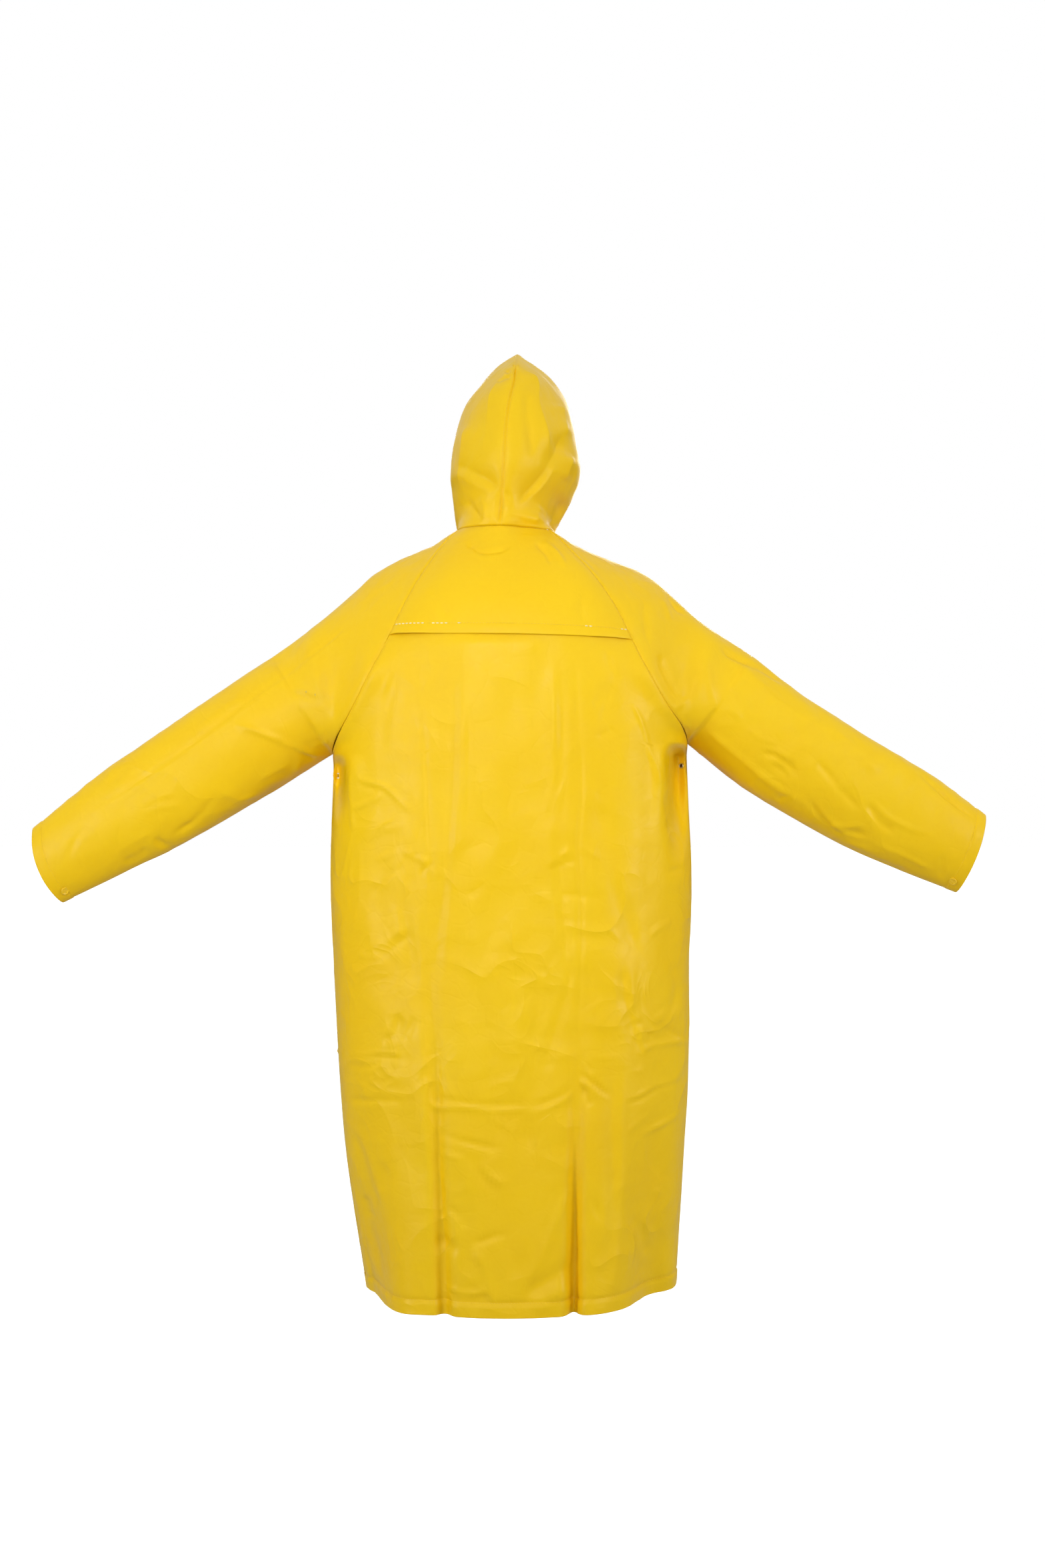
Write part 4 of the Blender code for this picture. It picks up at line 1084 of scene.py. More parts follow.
# %% Backing inside the coat
def backing_cloth():
    material, tree, shader = new_material("backing_cloth")
    uv = add(tree, "ShaderNodeTexCoord").outputs["UV"]
    loops = {"Vector": uv, "Distortion": 0.6, "Detail": 1.0, "Detail Scale": 3.0}
    wale = add(tree, "ShaderNodeTexWave", {**loops, "Scale": 210.0}, bands_direction="X").outputs["Fac"]
    course = add(tree, "ShaderNodeTexWave", {**loops, "Scale": 170.0}, bands_direction="Y").outputs["Fac"]
    knit = combined(tree, "MULTIPLY", wale, course)
    lint = ramp(tree, noise_at(tree, uv, 40.0, 3.0).outputs["Fac"], 0.0, 0.25, 0.4, 0.7)
    base = blend_colours(tree, knit, (0.60, 0.40, 0.05, 1), (0.82, 0.60, 0.12, 1))
    feed(tree, shader, {
        "Base Color": blend_colours(tree, lint, base, (0.86, 0.70, 0.26, 1)),
        "Normal": bumps(tree, (knit, 0.35, 0.0003)),
        "Roughness": 0.85,
        "Sheen Weight": 0.25,
    })
    return material

# %% [markdown]
# The studs are moulded in the coat's own yellow. The sewing thread is a little silky and as yellow as the
# cloth.
# Along the yoke's hem, short runs of pale thread are painted glints: they stand for light caught on the
# stitch line.
# The eyelets are rolled from plated brass.

# %% Studs, thread and eyelets
def speckled(name, scale, detail, dark, light, roughness, relief=None, **others):
    """A finish whose colour, and gloss if roughness is a range, vary in fine speckles."""
    material, tree, shader = new_material(name)
    place = add(tree, "ShaderNodeTexCoord").outputs["Object"]
    speckle = noise_at(tree, place, scale, detail).outputs["Fac"]
    feed(tree, shader, {"Base Color": blend_colours(tree, speckle, dark, light), **others})
    if isinstance(roughness, tuple):
        roughness = ramp(tree, speckle, *roughness, 0.3, 0.7)
    feed(tree, shader, {"Roughness": roughness})
    if relief:
        feed(tree, shader, {"Normal": bumps(tree, (speckle, *relief))})
    return material


SHEEN = {"Sheen Weight": 0.2}
CLOTH_FINISH, BACKING = coated_cloth(), backing_cloth()
THREAD = speckled("sewing_thread", 2600.0, 1.0, (0.84, 0.52, 0.006, 1), (0.93, 0.62, 0.012, 1), 0.45,
                  **SHEEN)
# pale thread painted as glints: it stands for light caught on the yoke's stitch line
PAINTED_GLINT_THREAD = speckled("painted_glint_thread", 2600.0, 1.0, (0.93, 0.80, 0.34, 1), (0.98, 0.93, 0.66, 1), 0.45,
                       **SHEEN)
STUD_FINISH = speckled("stud_plastic", 420.0, 2.0, (0.86, 0.53, 0.010, 1), (0.90, 0.60, 0.018, 1),
                       (0.22, 0.34), relief=(0.1, 0.0001))
METAL = speckled("eyelet_metal", 900.0, 2.0, (0.60, 0.56, 0.48, 1), (0.74, 0.71, 0.64, 1), (0.26, 0.42),
                 Metallic=1.0)
print("finishes:", sorted(m.name for m in bpy.data.materials if m.users or m.use_nodes))

# %% [markdown]
# ## From points to cloth
# create_grid gives a flat net of quads. Its vertices are laid on the sheet's points, its UV map gets the
# cloth's own measures in metres, and a Solidify modifier gives it the thickness of the cloth, inwards, with
# the backing on the inner face.

# %% Make one cloth piece
def placed(name, mesh, *finishes):
    """The mesh as a smooth object in the scene."""
    data = bpy.data.meshes.new(name)
    mesh.to_mesh(data)
    mesh.free()
    data.shade_smooth()
    for finish in finishes:
        data.materials.append(finish)
    piece = bpy.data.objects.new(name, data)
    bpy.context.scene.collection.objects.link(piece)
    return piece


def cloth_piece(name, sheet, out):
    """A sheet of cloth on a grid of points, with its faces turned outwards."""
    rows, columns = sheet.shape[:2]
    mesh = bmesh.new()
    mesh.loops.layers.uv.new("cut")
    bmesh.ops.create_grid(mesh, x_segments=columns - 1, y_segments=rows - 1, size=1, calc_uvs=True)
    for vert, point in zip(mesh.verts, sheet.reshape(-1, 3)):
        vert.co = point
    i, j = rows // 2, columns // 2
    normal = np.cross(sheet[i, j + 1] - sheet[i, j], sheet[i + 1, j] - sheet[i, j])
    if np.dot(normal, out[i, j]) < 0:
        bmesh.ops.reverse_faces(mesh, faces=mesh.faces)
    area = sum(face.calc_area() for face in mesh.faces)
    piece = placed(name, mesh, CLOTH_FINISH, BACKING)
    across = edge_distance(sheet, "start").mean(axis=0)
    up = edge_distance(sheet, "bottom").mean(axis=1)
    corner = np.zeros(len(piece.data.loops), dtype=np.int32)
    piece.data.loops.foreach_get("vertex_index", corner)
    uv = np.stack([across[corner % columns], up[corner // columns]], axis=-1)
    piece.data.uv_layers[0].data.foreach_set("uv", uv.astype(np.float32).ravel())
    wall = piece.modifiers.new("cloth thickness", "SOLIDIFY")
    wall.thickness = CLOTH
    wall.offset = -1
    wall.material_offset = 1
    wall.material_offset_rim = 0
    print("%s: %d x %d points, %.3f m2 of cloth" % (name, columns, rows, area))
    return piece


pieces = {}

# %% [markdown]
# ## Back
# The back reaches from the hem to under the yoke. It is laid on the body's surface, creased, and above the
# yoke's edge it slips under the yoke. The two long packing folds and the level one are the deepest marks on
# it.

# %% The back panel
HEM_DEPTH = 0.022
TUCK = 0.0021
BACK_STRENGTH = 1.35
BACK_SWELLS = (0.10, 0.30, 0.42), 0.0065, (3.1, 0.4, 7.7)
BACK_DIMPLES = (0.035, 0.2, 0.09), 0.0018, (8.2, 1.9, 2.3)
BACK_CRUMPLES = 0.034, 0.0022, (1.3, 5.2, 0.8)
RAGLAN_FINENESS = 8
# rows for the hem's bend and for the groove of its stitches
hem_lines = [0.02, 0.36, 0.385, 0.41]
back_rows = np.concatenate([fine_rows(0, UNDERARM, 14, *hem_lines), fine_rows(UNDERARM, YOKE_ROW, 7)[1:],
                            fine_rows(YOKE_ROW, BACK_TOP_ROW, 3)[1:]])
# close columns where the two packing folds run
back_t = denser(fine_columns(166), (0.351, 0.384, 13), (0.572, 0.612, 15))
back = body_grid(back_rows, back_t, BACK)
back_out = outward(back, BACK)
x, z = back[..., 0], back[..., 2]
lift = crease_field(x, z, BACK_CREASES, BACK_STRENGTH)
lift += unevenness(back, *BACK_SWELLS)
lift += unevenness(back, *BACK_DIMPLES)
lift += crumple(back, *BACK_CRUMPLES) * ease((-0.1 - z) / 0.9)
lift *= held_by_seams(back, ("start", "end")) * calm_at_fittings(back)
lift += hem_relief(edge_distance(back, "bottom"), HEM_DEPTH) - seam_dip(back, ("start", "end"))
under_yoke = ease((back_rows - YOKE_ROW + 0.5) / 0.5)[:, None]
back = back + back_out * (lift * (1 - under_yoke) - TUCK * under_yoke)[..., None]
for side, edge in (("left", "start"), ("right", "end")):
    back = bridged_armhole(side_hollow(back, side, edge, BACK), side, edge)
back_out = outward(back, BACK)
pieces["back"] = cloth_piece("raincoat_back", *turned_in(back, back_out, HEM_DEPTH))

# %% [markdown]
# ## Yoke
# The yoke hangs over the top of the back like a short cape. Only its sides and its neck edge are sewn, so
# its lower edge stands off the back and lets air out. Its edge is turned in by 16 mm and stitched.

# %% The yoke
YOKE_HEM = 0.016
FLAP_LIFT = 0.0020
YOKE_SLIDE = 0.17
YOKE_STRENGTH = 2.4
YOKE_SWELLS = (0.09, 0.2, 0.16), 0.0030, (4.4, 9.1, 1.2)
YOKE_CRUMPLES = 0.030, 0.0010, (6.1, 2.2, 3.3)
yoke_rows = fine_rows(YOKE_ROW, NECK, 8, YOKE_ROW + 0.05, YOKE_ROW + 0.52, YOKE_ROW + 0.57, YOKE_ROW + 0.62)
yoke_t = fine_columns(116)
yoke_slide = YOKE_SLIDE * (NECK - yoke_rows)[:, None] / (NECK - YOKE_ROW) * yoke_t**2
yoke = body_grid(yoke_rows[:, None] - yoke_slide, yoke_t, BACK)
yoke_out = outward(yoke, BACK)
below_neck = 1 - (yoke_rows - YOKE_ROW) / (NECK - YOKE_ROW)
across = np.linspace(-1, 1, yoke.shape[1])[None]
# the free edge stands off the back most near its two ends
gape = 0.05 + 1.5 * np.exp(-(((across + 0.70) / 0.20) ** 2)) + 1.3 * np.exp(-(((across - 0.74) / 0.22) ** 2))
hold = held_by_seams(yoke, ("start", "end", "top"))
lift = crease_field(yoke[..., 0], yoke[..., 2], YOKE_CREASES, YOKE_STRENGTH)
lift += unevenness(yoke, *YOKE_SWELLS) + crumple(yoke, *YOKE_CRUMPLES)
lift = (lift + hem_relief(edge_distance(yoke, "bottom"), YOKE_HEM)) * hold
lift += FLAP_LIFT * (below_neck**2)[:, None] * gape * hold - seam_dip(yoke, ("start", "end"))
yoke = neck_slack(yoke + yoke_out * lift[..., None])
yoke_out = outward(yoke, BACK)
pieces["yoke"] = cloth_piece("raincoat_yoke", *turned_in(yoke, yoke_out, YOKE_HEM))

# %% [markdown]
# ## Fronts
# The two fronts overlap at the centre, and the left one lies on top. Their free edges are turned in for the
# studs. Their creases are the same kinds as the back's, slid and turned over, because the coat was packed
# as a whole.

# %% The two fronts
FRONT_TURN = 0.030
FRONT_STRENGTH = 1.1
FRONT_SWELLS = (0.10, 0.30, 0.38), 0.0045, (1.7, 6.4, 5.5)
FRONT_CRUMPLES = 0.031, 0.0018, (7.1, 1.6, 2.9)
FRONT_CREASES = mirrored(BACK_CREASES, -9, -24)
front_rows = np.concatenate([fine_rows(0, UNDERARM, 12, *hem_lines),
                             fine_rows(UNDERARM, NECK, RAGLAN_FINENESS)[1:]])
to_hood_end = free_edge_columns(64)
past_centre = np.concatenate([np.linspace(0, 1, 21)[1:-1], [0.975, 1.0]])
fronts = {}
for side in SIDES:
    sheet = front_grid(side, front_rows, to_hood_end, past_centre)
    out = outward(sheet, FRONT)
    x, z = sheet[..., 0], sheet[..., 2]
    lift = crease_field(x, z, FRONT_CREASES, FRONT_STRENGTH)
    lift += unevenness(sheet, *FRONT_SWELLS) + crumple(sheet, *FRONT_CRUMPLES)
    lift *= held_by_seams(sheet, ("start", "top")) * calm_at_fittings(sheet)
    # the stiff, lapped edges at the centre keep a quarter of the relief
    lift *= 0.25 + 0.75 * ease((np.abs(x) - 0.030) / 0.03)
    lift += hem_relief(edge_distance(sheet, "bottom"), HEM_DEPTH) - seam_dip(sheet, ("start",))
    lift += hem_relief(edge_distance(sheet, "end"), FRONT_TURN, 0.0004, 0.0004)
    # the right front slips under the left one
    if side == "right":
        lift -= TUCK * ease((0.045 - x) / 0.007)
    sheet = side_hollow(sheet + out * lift[..., None], side, "start", FRONT)
    out = outward(sheet, FRONT)
    fronts[side] = sheet, out
    pieces["front_" + side] = cloth_piece("raincoat_front_" + side, *turned_in(sheet, out, HEM_DEPTH))

# %% [markdown]
# ## Sleeves
# Each sleeve is one sheet from cuff to neck. Its back and front halves get their own creases, and the cuff
# is turned in like the hem.

# %% The two sleeves
CUFF_DEPTH = 0.018
SLEEVE_STRENGTH = 1.6
SLEEVE_SWELLS = (0.14, 0.09, 0.10), 0.0045, (2.9, 3.3, 8.8)
SLEEVE_CRUMPLES = 0.030, 0.0024, (0.4, 8.8, 6.3)
SLEEVE_CREASES = {
    "left": {BACK: LEFT_SLEEVE_CREASES, FRONT: mirrored(RIGHT_SLEEVE_CREASES, -4, -3)},
    "right": {BACK: RIGHT_SLEEVE_CREASES, FRONT: mirrored(LEFT_SLEEVE_CREASES, 3, 4)},
}
sleeve_rows = np.concatenate([fine_rows(0, SLEEVE_ROWS, 13, 0.03, 0.31, 0.34, 0.37),
                              fine_rows(SLEEVE_ROWS, SLEEVE_ROWS + RAGLAN_ROWS, RAGLAN_FINENESS)[1:]])
above_underarm = np.searchsorted(sleeve_rows, SLEEVE_ROWS, side="right")
sleeves = {}
for side in SIDES:
    sheet = sleeve_grid(side, sleeve_rows, 58)
    out = outward(sheet)
    x, y, z = sheet[..., 0], sheet[..., 1], sheet[..., 2]
    lift = np.zeros(x.shape)
    for face, creases in SLEEVE_CREASES[side].items():
        lift += crease_field(x, z, creases, SLEEVE_STRENGTH) * ease((y * face + 0.002) / 0.008)
    lift += unevenness(sheet, *SLEEVE_SWELLS) + crumple(sheet, *SLEEVE_CRUMPLES)
    lift *= held_by_seams(sheet, ("start", "end", "top")) * calm_at_fittings(sheet)
    lift += hem_relief(edge_distance(sheet, "bottom"), CUFF_DEPTH, 0.0007, 0.0008)
    lift -= seam_dip(sheet, ("start", "end"))
    sheet = sheet + out * lift[..., None]
    sheet[above_underarm:] = neck_slack(bridged_armhole(sheet[above_underarm:], side, "start"))
    out = outward(sheet)
    sleeves[side] = sheet, out
    pieces["sleeve_" + side] = cloth_piece("raincoat_sleeve_" + side, *turned_in(sheet, out, CUFF_DEPTH))

# %% [markdown]
# ## Hood
# The hood keeps the corners of its flat cut: it is folded along a few straight ridges between facets, and
# the cloth bags where it leaves the neck seam.

# %% Hood creases and the two halves
HOOD_CREASES = (
    ("fold", 4.8, 13, ((12, 252), (30, 237), (38, 222), (40, 194), (46, 167), (53, 139), (60, 112))),
    ("valley", 1.6, 7, ((24, 214), (24, 175), (30, 136), (32, 107))),
    ("fold", 2.7, 10, ((-9, 237), (-21, 218), (-30, 194), (-34, 155))),
    ("valley", 1.6, 3, ((-8, 244), (-1, 247), (6, 244))),
    ("valley", 1.4, 3, ((-20, 226), (-8, 234), (2, 236))),
    ("fold", -3.6, 9, ((-79, 109), (-58, 95), (-33, 77), (-8, 63))),
    ("fold", 2.1, 9, ((-76, 92), (-52, 76), (-23, 56))),
    ("fold", 3.3, 12, ((-63, 170), (-67, 141), (-73, 107), (-74, 76))),
    ("fold", -5.4, 14, ((78, 155), (71, 128), (51, 91), (30, 64), (5, 41))),
    ("fold", 3.6, 9, ((69, 105), (55, 82), (36, 61), (11, 41))),
    ("valley", 2.6, 3, ((3, 46), (-9, 60), (-17, 50), (-15, 11))),
    ("fold", -5.4, 15, ((94, 60), (78, 41), (65, 25), (63, 5))),
    ("fold", 2.4, 9, ((45, 46), (39, 29), (34, 13))),
    ("fold", 2.7, 9, ((-44, 58), (-36, 37), (-40, 19))),
    ("fold", 3.3, 10, ((92, 128), (88, 107), (82, 85))),
    ("fold", 2.7, 12, ((76, 205), (80, 180), (83, 150))),
    ("valley", 1.5, 4, ((-64, 53), (-52, 35), (-42, 20))),
    ("valley", 1.2, 3, ((-22, 20), (0, 24), (24, 20))),
)
HOOD_STRENGTH = 1.6
HOOD_SWELLS = (0.07, 0.07, 0.09), 0.0030, (5.5, 2.7, 4.1)
HOOD_CRUMPLES = 0.026, 0.0014, (3.7, 4.4, 9.2)
NECK_ROLL = 0.0022
CENTRE_SEAM = 0.0016
hood_rows = np.linspace(0, 7, 99)
hood_shares = free_edge_columns(110)
hoods = {}
for side in SIDES:
    sheet = hood_grid(side, hood_rows, hood_shares)
    out = outward(sheet)
    x, y, z = sheet[..., 0], sheet[..., 1], sheet[..., 2]
    lift = crease_field(x, z, HOOD_CREASES, HOOD_STRENGTH) * ease((0.06 - y) / 0.05)
    lift += unevenness(sheet, *HOOD_SWELLS) + crumple(sheet, *HOOD_CRUMPLES)
    # the cloth rolls out a little above the neck seam, most on the right
    above_neck = edge_distance(sheet, "bottom")
    lift += NECK_ROLL * (0.25 + ease(x / 0.05 + 0.5)) * np.exp(-(((above_neck - 0.013) / 0.009) ** 2))
    lift *= held_by_seams(sheet, ("start", "top", "bottom"))
    from_centre = edge_distance(sheet, "start")
    centre_seam = seam_dip(sheet, ("start", "top"))
    centre_seam = centre_seam + CENTRE_SEAM * np.exp(-((from_centre / SEAM_WIDTH) ** 2))
    lift -= centre_seam * held_by_seams(sheet, ("bottom",))
    sheet = neck_slack(sheet + out * lift[..., None])
    out = outward(sheet)
    hoods[side] = sheet, out
    pieces["hood_" + side] = cloth_piece("raincoat_hood_" + side, sheet, out)

# %% [markdown]
# ## Sewing
# A lockstitch shows on the cloth as a row of short, slightly sunk bars of thread. One stitch is a tiny
# stretched ball of 20 faces, and a run of them follows a line on a sheet. Where two edges are overlocked,
# the thread crosses the seam instead.

# %% Helpers for stitching
STITCH_PITCH, STITCH_LENGTH, THREAD_WIDTH = 0.0040, 0.0031, 0.0006
TOPSTITCH = {}
OVERLOCK = dict(pitch=0.0034, length=0.0046, width=0.0006, across=True)
NECK_LOCK = dict(pitch=0.0034, length=0.0034, width=0.0005, across=True)
YOKE_STITCH = dict(pitch=0.0046, length=0.0036, width=0.0009)
# short, wide stitches of pale thread, spaced out: painted glints of light on the yoke's hem
PAINTED_GLINT_STITCH = dict(pitch=0.0062, length=0.0052, width=0.0019)


def line_beside(sheet, out, edge, distance):
    """A line on a sheet at a distance from one edge, with the directions out of the cloth along it."""
    if edge in ("bottom", "top"):
        sheet, out = sheet.swapaxes(0, 1), out.swapaxes(0, 1)
        edge = {"bottom": "start", "top": "end"}[edge]
    length = edge_distance(sheet, edge)
    if edge == "end":
        length, sheet, out = length[:, ::-1], sheet[:, ::-1], out[:, ::-1]
    at = np.array([walk(points, row, distance) for row, points in zip(length, sheet)])
    up = np.array([walk(points, row, distance) for row, points in zip(length, out)])
    return at, unit(up)


def run_beside(surface, edge, distance, style=TOPSTITCH, first=0, last=None):
    """A run of one kind of stitch beside an edge, or on a part of that line."""
    points, out = line_beside(*surface, edge, distance)
    return points[first:last], out[first:last], style


def sew(mesh, points, out, pitch=STITCH_PITCH, length=STITCH_LENGTH, width=THREAD_WIDTH, across=False):
    """One run of stitches on a line, along it or across it."""
    measure = arc_length(points)
    for at in np.arange(pitch / 2, measure[-1], pitch):
        place, ahead, behind = (Vector(walk(points, measure, at + step)) for step in (0, 0.001, -0.001))
        normal = Vector(walk(out, measure, at)).normalized()
        forward = (ahead - behind).normalized()
        sideways = normal.cross(forward).normalized()
        if across:
            forward, sideways = sideways, forward
        turn = Matrix((forward * length / 2, sideways * width / 2, normal * width / 2)).transposed().to_4x4()
        turn.translation = place + normal * width * 0.12
        bmesh.ops.create_icosphere(mesh, subdivisions=1, radius=1, matrix=turn)


def stitching(name, runs, thread=None):
    """Runs of stitches on one cloth piece as one mesh."""
    mesh = bmesh.new()
    for points, out, style in runs:
        sew(mesh, points, out, **style)
    bmesh.ops.recalc_face_normals(mesh, faces=mesh.faces)
    piece = placed(name, mesh, thread or THREAD)
    print("%s: %d stitches" % (name, len(piece.data.polygons) // 20))
    return piece

# %% Stitch the pieces
TO_STITCHES, SEAM_STITCHES, LOCK_STITCHES, NECK_STITCHES = 0.001, 0.0045, 0.0028, 0.0026
HOOD_SEAM_STITCHES, HOOD_HEM_STITCHES = 0.0035, 0.020
# spans of the yoke's hem line where pale stitches paint glints of light
GLINTS = (4, 24), (27, 36), (40, 43), (-30, -24), (-9, -4)
back_from = np.searchsorted(back_rows, UNDERARM)
back_to = np.searchsorted(back_rows, YOKE_ROW, side="right")
front_from = np.searchsorted(front_rows, UNDERARM)
on_back, on_yoke = (back, back_out), (yoke, yoke_out)
yoke_hem = YOKE_HEM - TO_STITCHES
stitches = {
    "back": [stitching("stitching_back", [
        run_beside(on_back, "bottom", HEM_DEPTH - TO_STITCHES),
        run_beside(on_back, "start", SEAM_STITCHES, TOPSTITCH, back_from, back_to),
        run_beside(on_back, "end", LOCK_STITCHES, OVERLOCK, back_from, back_to),
    ])],
    # pale stitches on the yoke's hem paint its glints of light
    "yoke": [stitching("stitching_yoke_hem_painted_glints", [
        run_beside(on_yoke, "bottom", yoke_hem, PAINTED_GLINT_STITCH, first, last) for first, last in GLINTS
    ], PAINTED_GLINT_THREAD), stitching("stitching_yoke", [
        run_beside(on_yoke, "bottom", yoke_hem, YOKE_STITCH),
        run_beside(on_yoke, "start", SEAM_STITCHES),
        run_beside(on_yoke, "end", LOCK_STITCHES, OVERLOCK),
        run_beside(on_yoke, "top", NECK_STITCHES, NECK_LOCK),
    ])],
}
for side in SIDES:
    runs = {
        "front_": [
            run_beside(fronts[side], "bottom", HEM_DEPTH - TO_STITCHES),
            run_beside(fronts[side], "end", FRONT_TURN - TO_STITCHES),
            run_beside(fronts[side], "start", SEAM_STITCHES, TOPSTITCH, front_from),
        ],
        "sleeve_": [
            run_beside(sleeves[side], "bottom", CUFF_DEPTH - TO_STITCHES),
            run_beside(sleeves[side], "top", NECK_STITCHES, NECK_LOCK),
        ],
        "hood_": [
            run_beside(hoods[side], "start", HOOD_SEAM_STITCHES),
            run_beside(hoods[side], "end", HOOD_HEM_STITCHES),
        ],
    }
    for name, lines in runs.items():
        stitches[name + side] = [stitching("stitching_" + name + side, lines)]

# %% [markdown]
# ## Press studs
# A stud's cap is a low round button with a rolled rim and a shallow dish. It is a turned shape, so half of
# its section is drawn and spun about its axis, and then set on the cloth at the place the solid model gives
# it.

# %% Helpers for turned fittings
def nearest(sheet, out, centre):
    """The place on a sheet nearest to a point, and the direction out of the cloth there."""
    index = np.unravel_index(np.argmin(np.linalg.norm(sheet - centre, axis=-1)), sheet.shape[:2])
    normal = unit(out[index])
    return centre - normal * np.dot(centre - sheet[index], normal), normal


def turned_fitting(name, profile, place, normal, material, steps):
    """A profile of (radius, height) spun round the direction out of the cloth."""
    mesh = bmesh.new()
    points = [mesh.verts.new((radius, 0.0, height)) for radius, height in profile]
    edges = [mesh.edges.new(pair) for pair in zip(points, points[1:])]
    if profile[0][0] > 0:
        edges.append(mesh.edges.new((points[-1], points[0])))
    bmesh.ops.spin(mesh, geom=points + edges, cent=(0, 0, 0), axis=(0, 0, 1), angle=math.tau,
                   steps=steps, use_merge=True)
    bmesh.ops.remove_doubles(mesh, verts=mesh.verts, dist=0.00001)
    bmesh.ops.recalc_face_normals(mesh, faces=mesh.faces)
    turn = Vector(normal).to_track_quat("Z", "Y").to_matrix().to_4x4()
    turn.translation = Vector(place)
    bmesh.ops.transform(mesh, matrix=turn, verts=mesh.verts)
    return placed(name, mesh, material)


# %% Studs
STUD_SECTION = [(0.0, -0.3), (5.2, -0.3), (5.9, 0.1), (6.2, 0.7), (6.2, 1.3), (5.9, 1.9), (5.4, 2.3),
                (4.8, 2.45), (4.2, 2.3), (3.7, 2.0), (3.2, 1.9), (1.6, 1.95), (0.0, 2.0)]
STUD_PROFILE = [(radius * MM, height * MM) for radius, height in STUD_SECTION]
studs = {}
for node in STUD_NODES:
    sheet, out = sleeves[node.rsplit("_", 1)[1]] if node.startswith("cuff") else fronts["left"]
    place, normal = nearest(sheet, out, node_centre(node))
    studs[node] = turned_fitting("stud_" + node, STUD_PROFILE, place, normal, STUD_FINISH, 48)
print("studs:", len(studs))

# %% [markdown]
# ## Vent eyelets
# Under each arm a small rolled ring keeps an air hole open. The ring is a thin torus, spun from a small
# circle, and a dark disc of painted shade fills it, standing for the shadow inside the hole. Each one lies on
# the pushed cloth, a little nearer to the centre than its solid.

# %% Eyelets
EYELET_RADIUS, EYELET_WIRE = 0.0035, 0.0009
TOWARD_CENTRE = 0.97
RING_PROFILE = [(EYELET_RADIUS + EYELET_WIRE * math.cos(a), EYELET_WIRE * 0.7 * (1 + math.sin(a)))
                for a in np.linspace(0, math.tau, 13)[:-1]]
SHADE_DISC_PROFILE = [(0.0, -0.0002), (0.0029, -0.0002), (0.0029, 0.00035), (0.0, 0.00025)]
# the disc's near-black colour is painted shade: it stands for the shadow inside the eyelet's hole
painted_shade_finish, tree, shader = new_material("eyelet_painted_shade")
shade = add(tree, "ShaderNodeTexNoise", {"Scale": 500.0}).outputs["Fac"]
dark = blend_colours(tree, shade, (0.035, 0.018, 0.004, 1), (0.07, 0.036, 0.006, 1))
feed(tree, shader, {"Base Color": dark, "Roughness": 0.9})
eyelets, shade_discs = {}, {}
for node in EYELET_NODES:
    centre = node_centre(node) * (TOWARD_CENTRE, 1, 1)
    index = np.unravel_index(np.argmin(np.linalg.norm((back - centre)[..., [0, 2]], axis=-1)), back.shape[:2])
    place, normal = back[index], unit(back_out[index])
    eyelets[node] = turned_fitting("ring_" + node, RING_PROFILE, place, normal, METAL, 36)
    # a disc of painted shade fills each ring
    shade_discs[node] = turned_fitting("painted_shade_disc_" + node, SHADE_DISC_PROFILE, place, normal, painted_shade_finish, 24)
print("eyelets:", len(eyelets))

# %% [markdown]
# The coat has no joint, so every piece rides on its one body. Each cloth piece takes the place of its solid,
# which is hidden.

# %% What each piece is
CUTS = {
    "back": ("back_panel", (0.74, 1.02), 0.70),
    "yoke": ("back_yoke", (0.46, 0.22), 0.066),
    "front_left": ("front_left", (0.42, 1.15), 0.40),
    "front_right": ("front_right", (0.42, 1.15), 0.40),
    "sleeve_left": ("sleeve_left", (0.58, 0.92), 0.32),
    "sleeve_right": ("sleeve_right", (0.58, 0.92), 0.32),
    "hood_left": ("hood_left", (0.27, 0.33), 0.072),
    "hood_right": ("hood_right", (0.27, 0.33), 0.072),
}
for name, (node, flat, area) in CUTS.items():
    piece = pieces[name]
    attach(piece, "root")
    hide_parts(node)
    for sewing in stitches[name]:
        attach(sewing, "root")
for node, stud in studs.items():
    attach(stud, "root")
    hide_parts(node)
for node, ring_piece in eyelets.items():
    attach(ring_piece, "root")
    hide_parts(node)
    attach(shade_discs[node], "root")
print("declared:", len(CUTS), "sheets,", len(studs), "studs and", len(eyelets), "eyelets")

# %% [markdown]
# ## Floor and light
# The studio is plain: a pale floor, and a surround that is white to the camera but lights the coat only
# weakly, most from above. A key light stands behind the camera, a soft light stands level with each sleeve,
# and a large one fills the shadows on the coat's front.

# %% Helpers for the studio
def seen_or_lit(tree, seen, lit):
    """Strength that the camera sees, against the strength that lights the coat."""
    path = add(tree, "ShaderNodeLightPath")
    return ramp(tree, path.outputs["Is Camera Ray"], lit, seen, 0.0, 1.0)


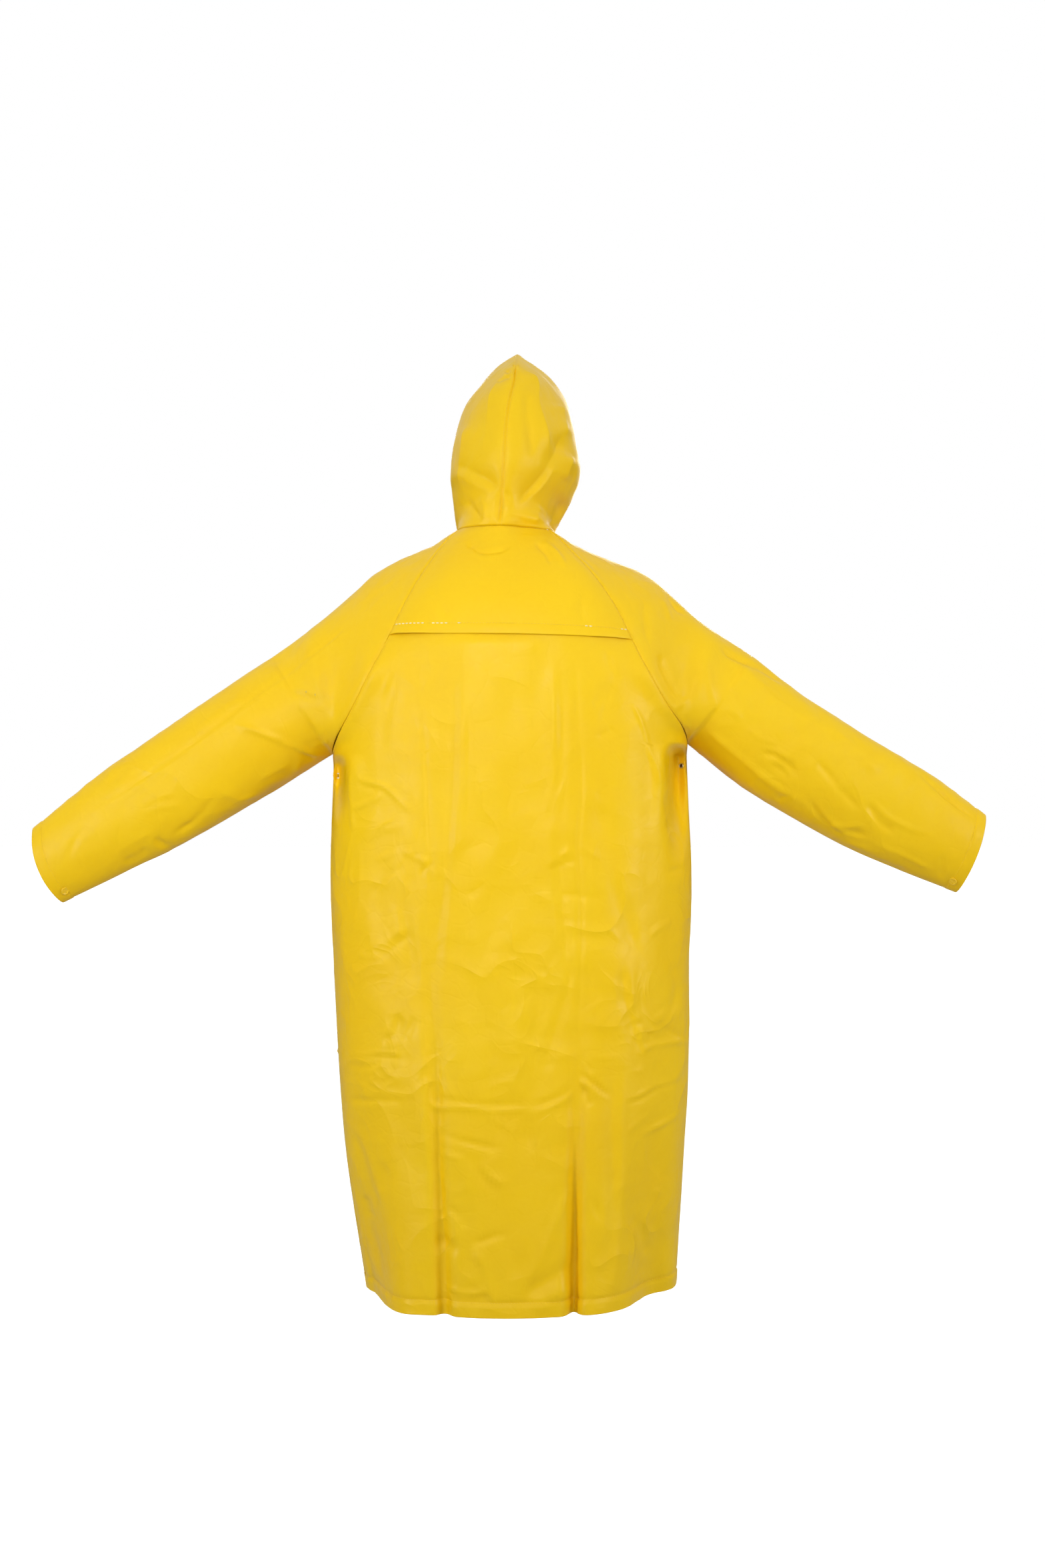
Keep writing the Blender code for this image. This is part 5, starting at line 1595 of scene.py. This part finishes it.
def area_light(name, place, look_at, size, power, spread):
    data = bpy.data.lights.new(name, "AREA")
    data.shape = "RECTANGLE"
    data.spread = math.radians(spread)
    data.size, data.size_y = size
    data.energy = power
    lamp = bpy.data.objects.new(name, data)
    lamp.location = place
    lamp.rotation_euler = (Vector(look_at) - Vector(place)).to_track_quat("-Z", "Y").to_euler()
    bpy.context.scene.collection.objects.link(lamp)


# %% Floor
FLOOR_HEIGHT, FLOOR_SIZE = -1.62, 40
mesh = bmesh.new()
bmesh.ops.create_grid(mesh, x_segments=1, y_segments=1, size=FLOOR_SIZE)
bmesh.ops.translate(mesh, vec=(0, 0, FLOOR_HEIGHT), verts=mesh.verts)
floor_finish, tree, shader = new_material("studio_floor")
feed(tree, shader, {
    "Base Color": (0.45, 0.45, 0.45, 1),
    "Roughness": 0.9,
    "Specular IOR Level": 0.1,
    "Emission Color": (1, 1, 1, 1),
    "Emission Strength": seen_or_lit(tree, 1.0, 0.0),
})
floor = placed("floor", mesh, floor_finish)

# %% Surround and lights
world = bpy.data.worlds.new("studio")
world.use_nodes = True
tree = world.node_tree
direction = add(tree, "ShaderNodeTexCoord").outputs["Generated"]
up_down = add(tree, "ShaderNodeSeparateXYZ", {"Vector": direction}).outputs["Z"]
sky = ramp(tree, up_down, -0.2, 0.7, 0.03, 0.16)
seen = add(tree, "ShaderNodeLightPath").outputs["Is Camera Ray"]
shown = add(tree, "ShaderNodeMix", {"A": sky, "B": 1.0, "Factor": seen})
feed(tree, tree.nodes["Background"], {"Color": (1.0, 1.0, 1.0, 1), "Strength": shown.outputs["Result"]})
bpy.context.scene.world = world
bpy.context.scene.view_settings.view_transform = "Standard"
LIGHTS = {
    "key": ((-0.3, -3.5, 0.45), (-0.10, 0, -0.20), (1.2, 0.8), 2.1, 38),
    "left_softbox": ((-2.5, -2.2, -0.20), (0, 0, -0.15), (0.9, 1.1), 10.6, 110),
    "right_softbox": ((2.9, -1.7, 0.0), (0, 0, -0.15), (0.9, 1.1), 10.8, 110),
    "front_fill": ((0.3, 3.3, 0.5), (0, 0, -0.4), (1.6, 1.2), 22, 120),
}
for name, (place, look_at, size, power, spread) in LIGHTS.items():
    area_light(name, place, look_at, size, power, spread)
print("lights:", ", ".join(LIGHTS))
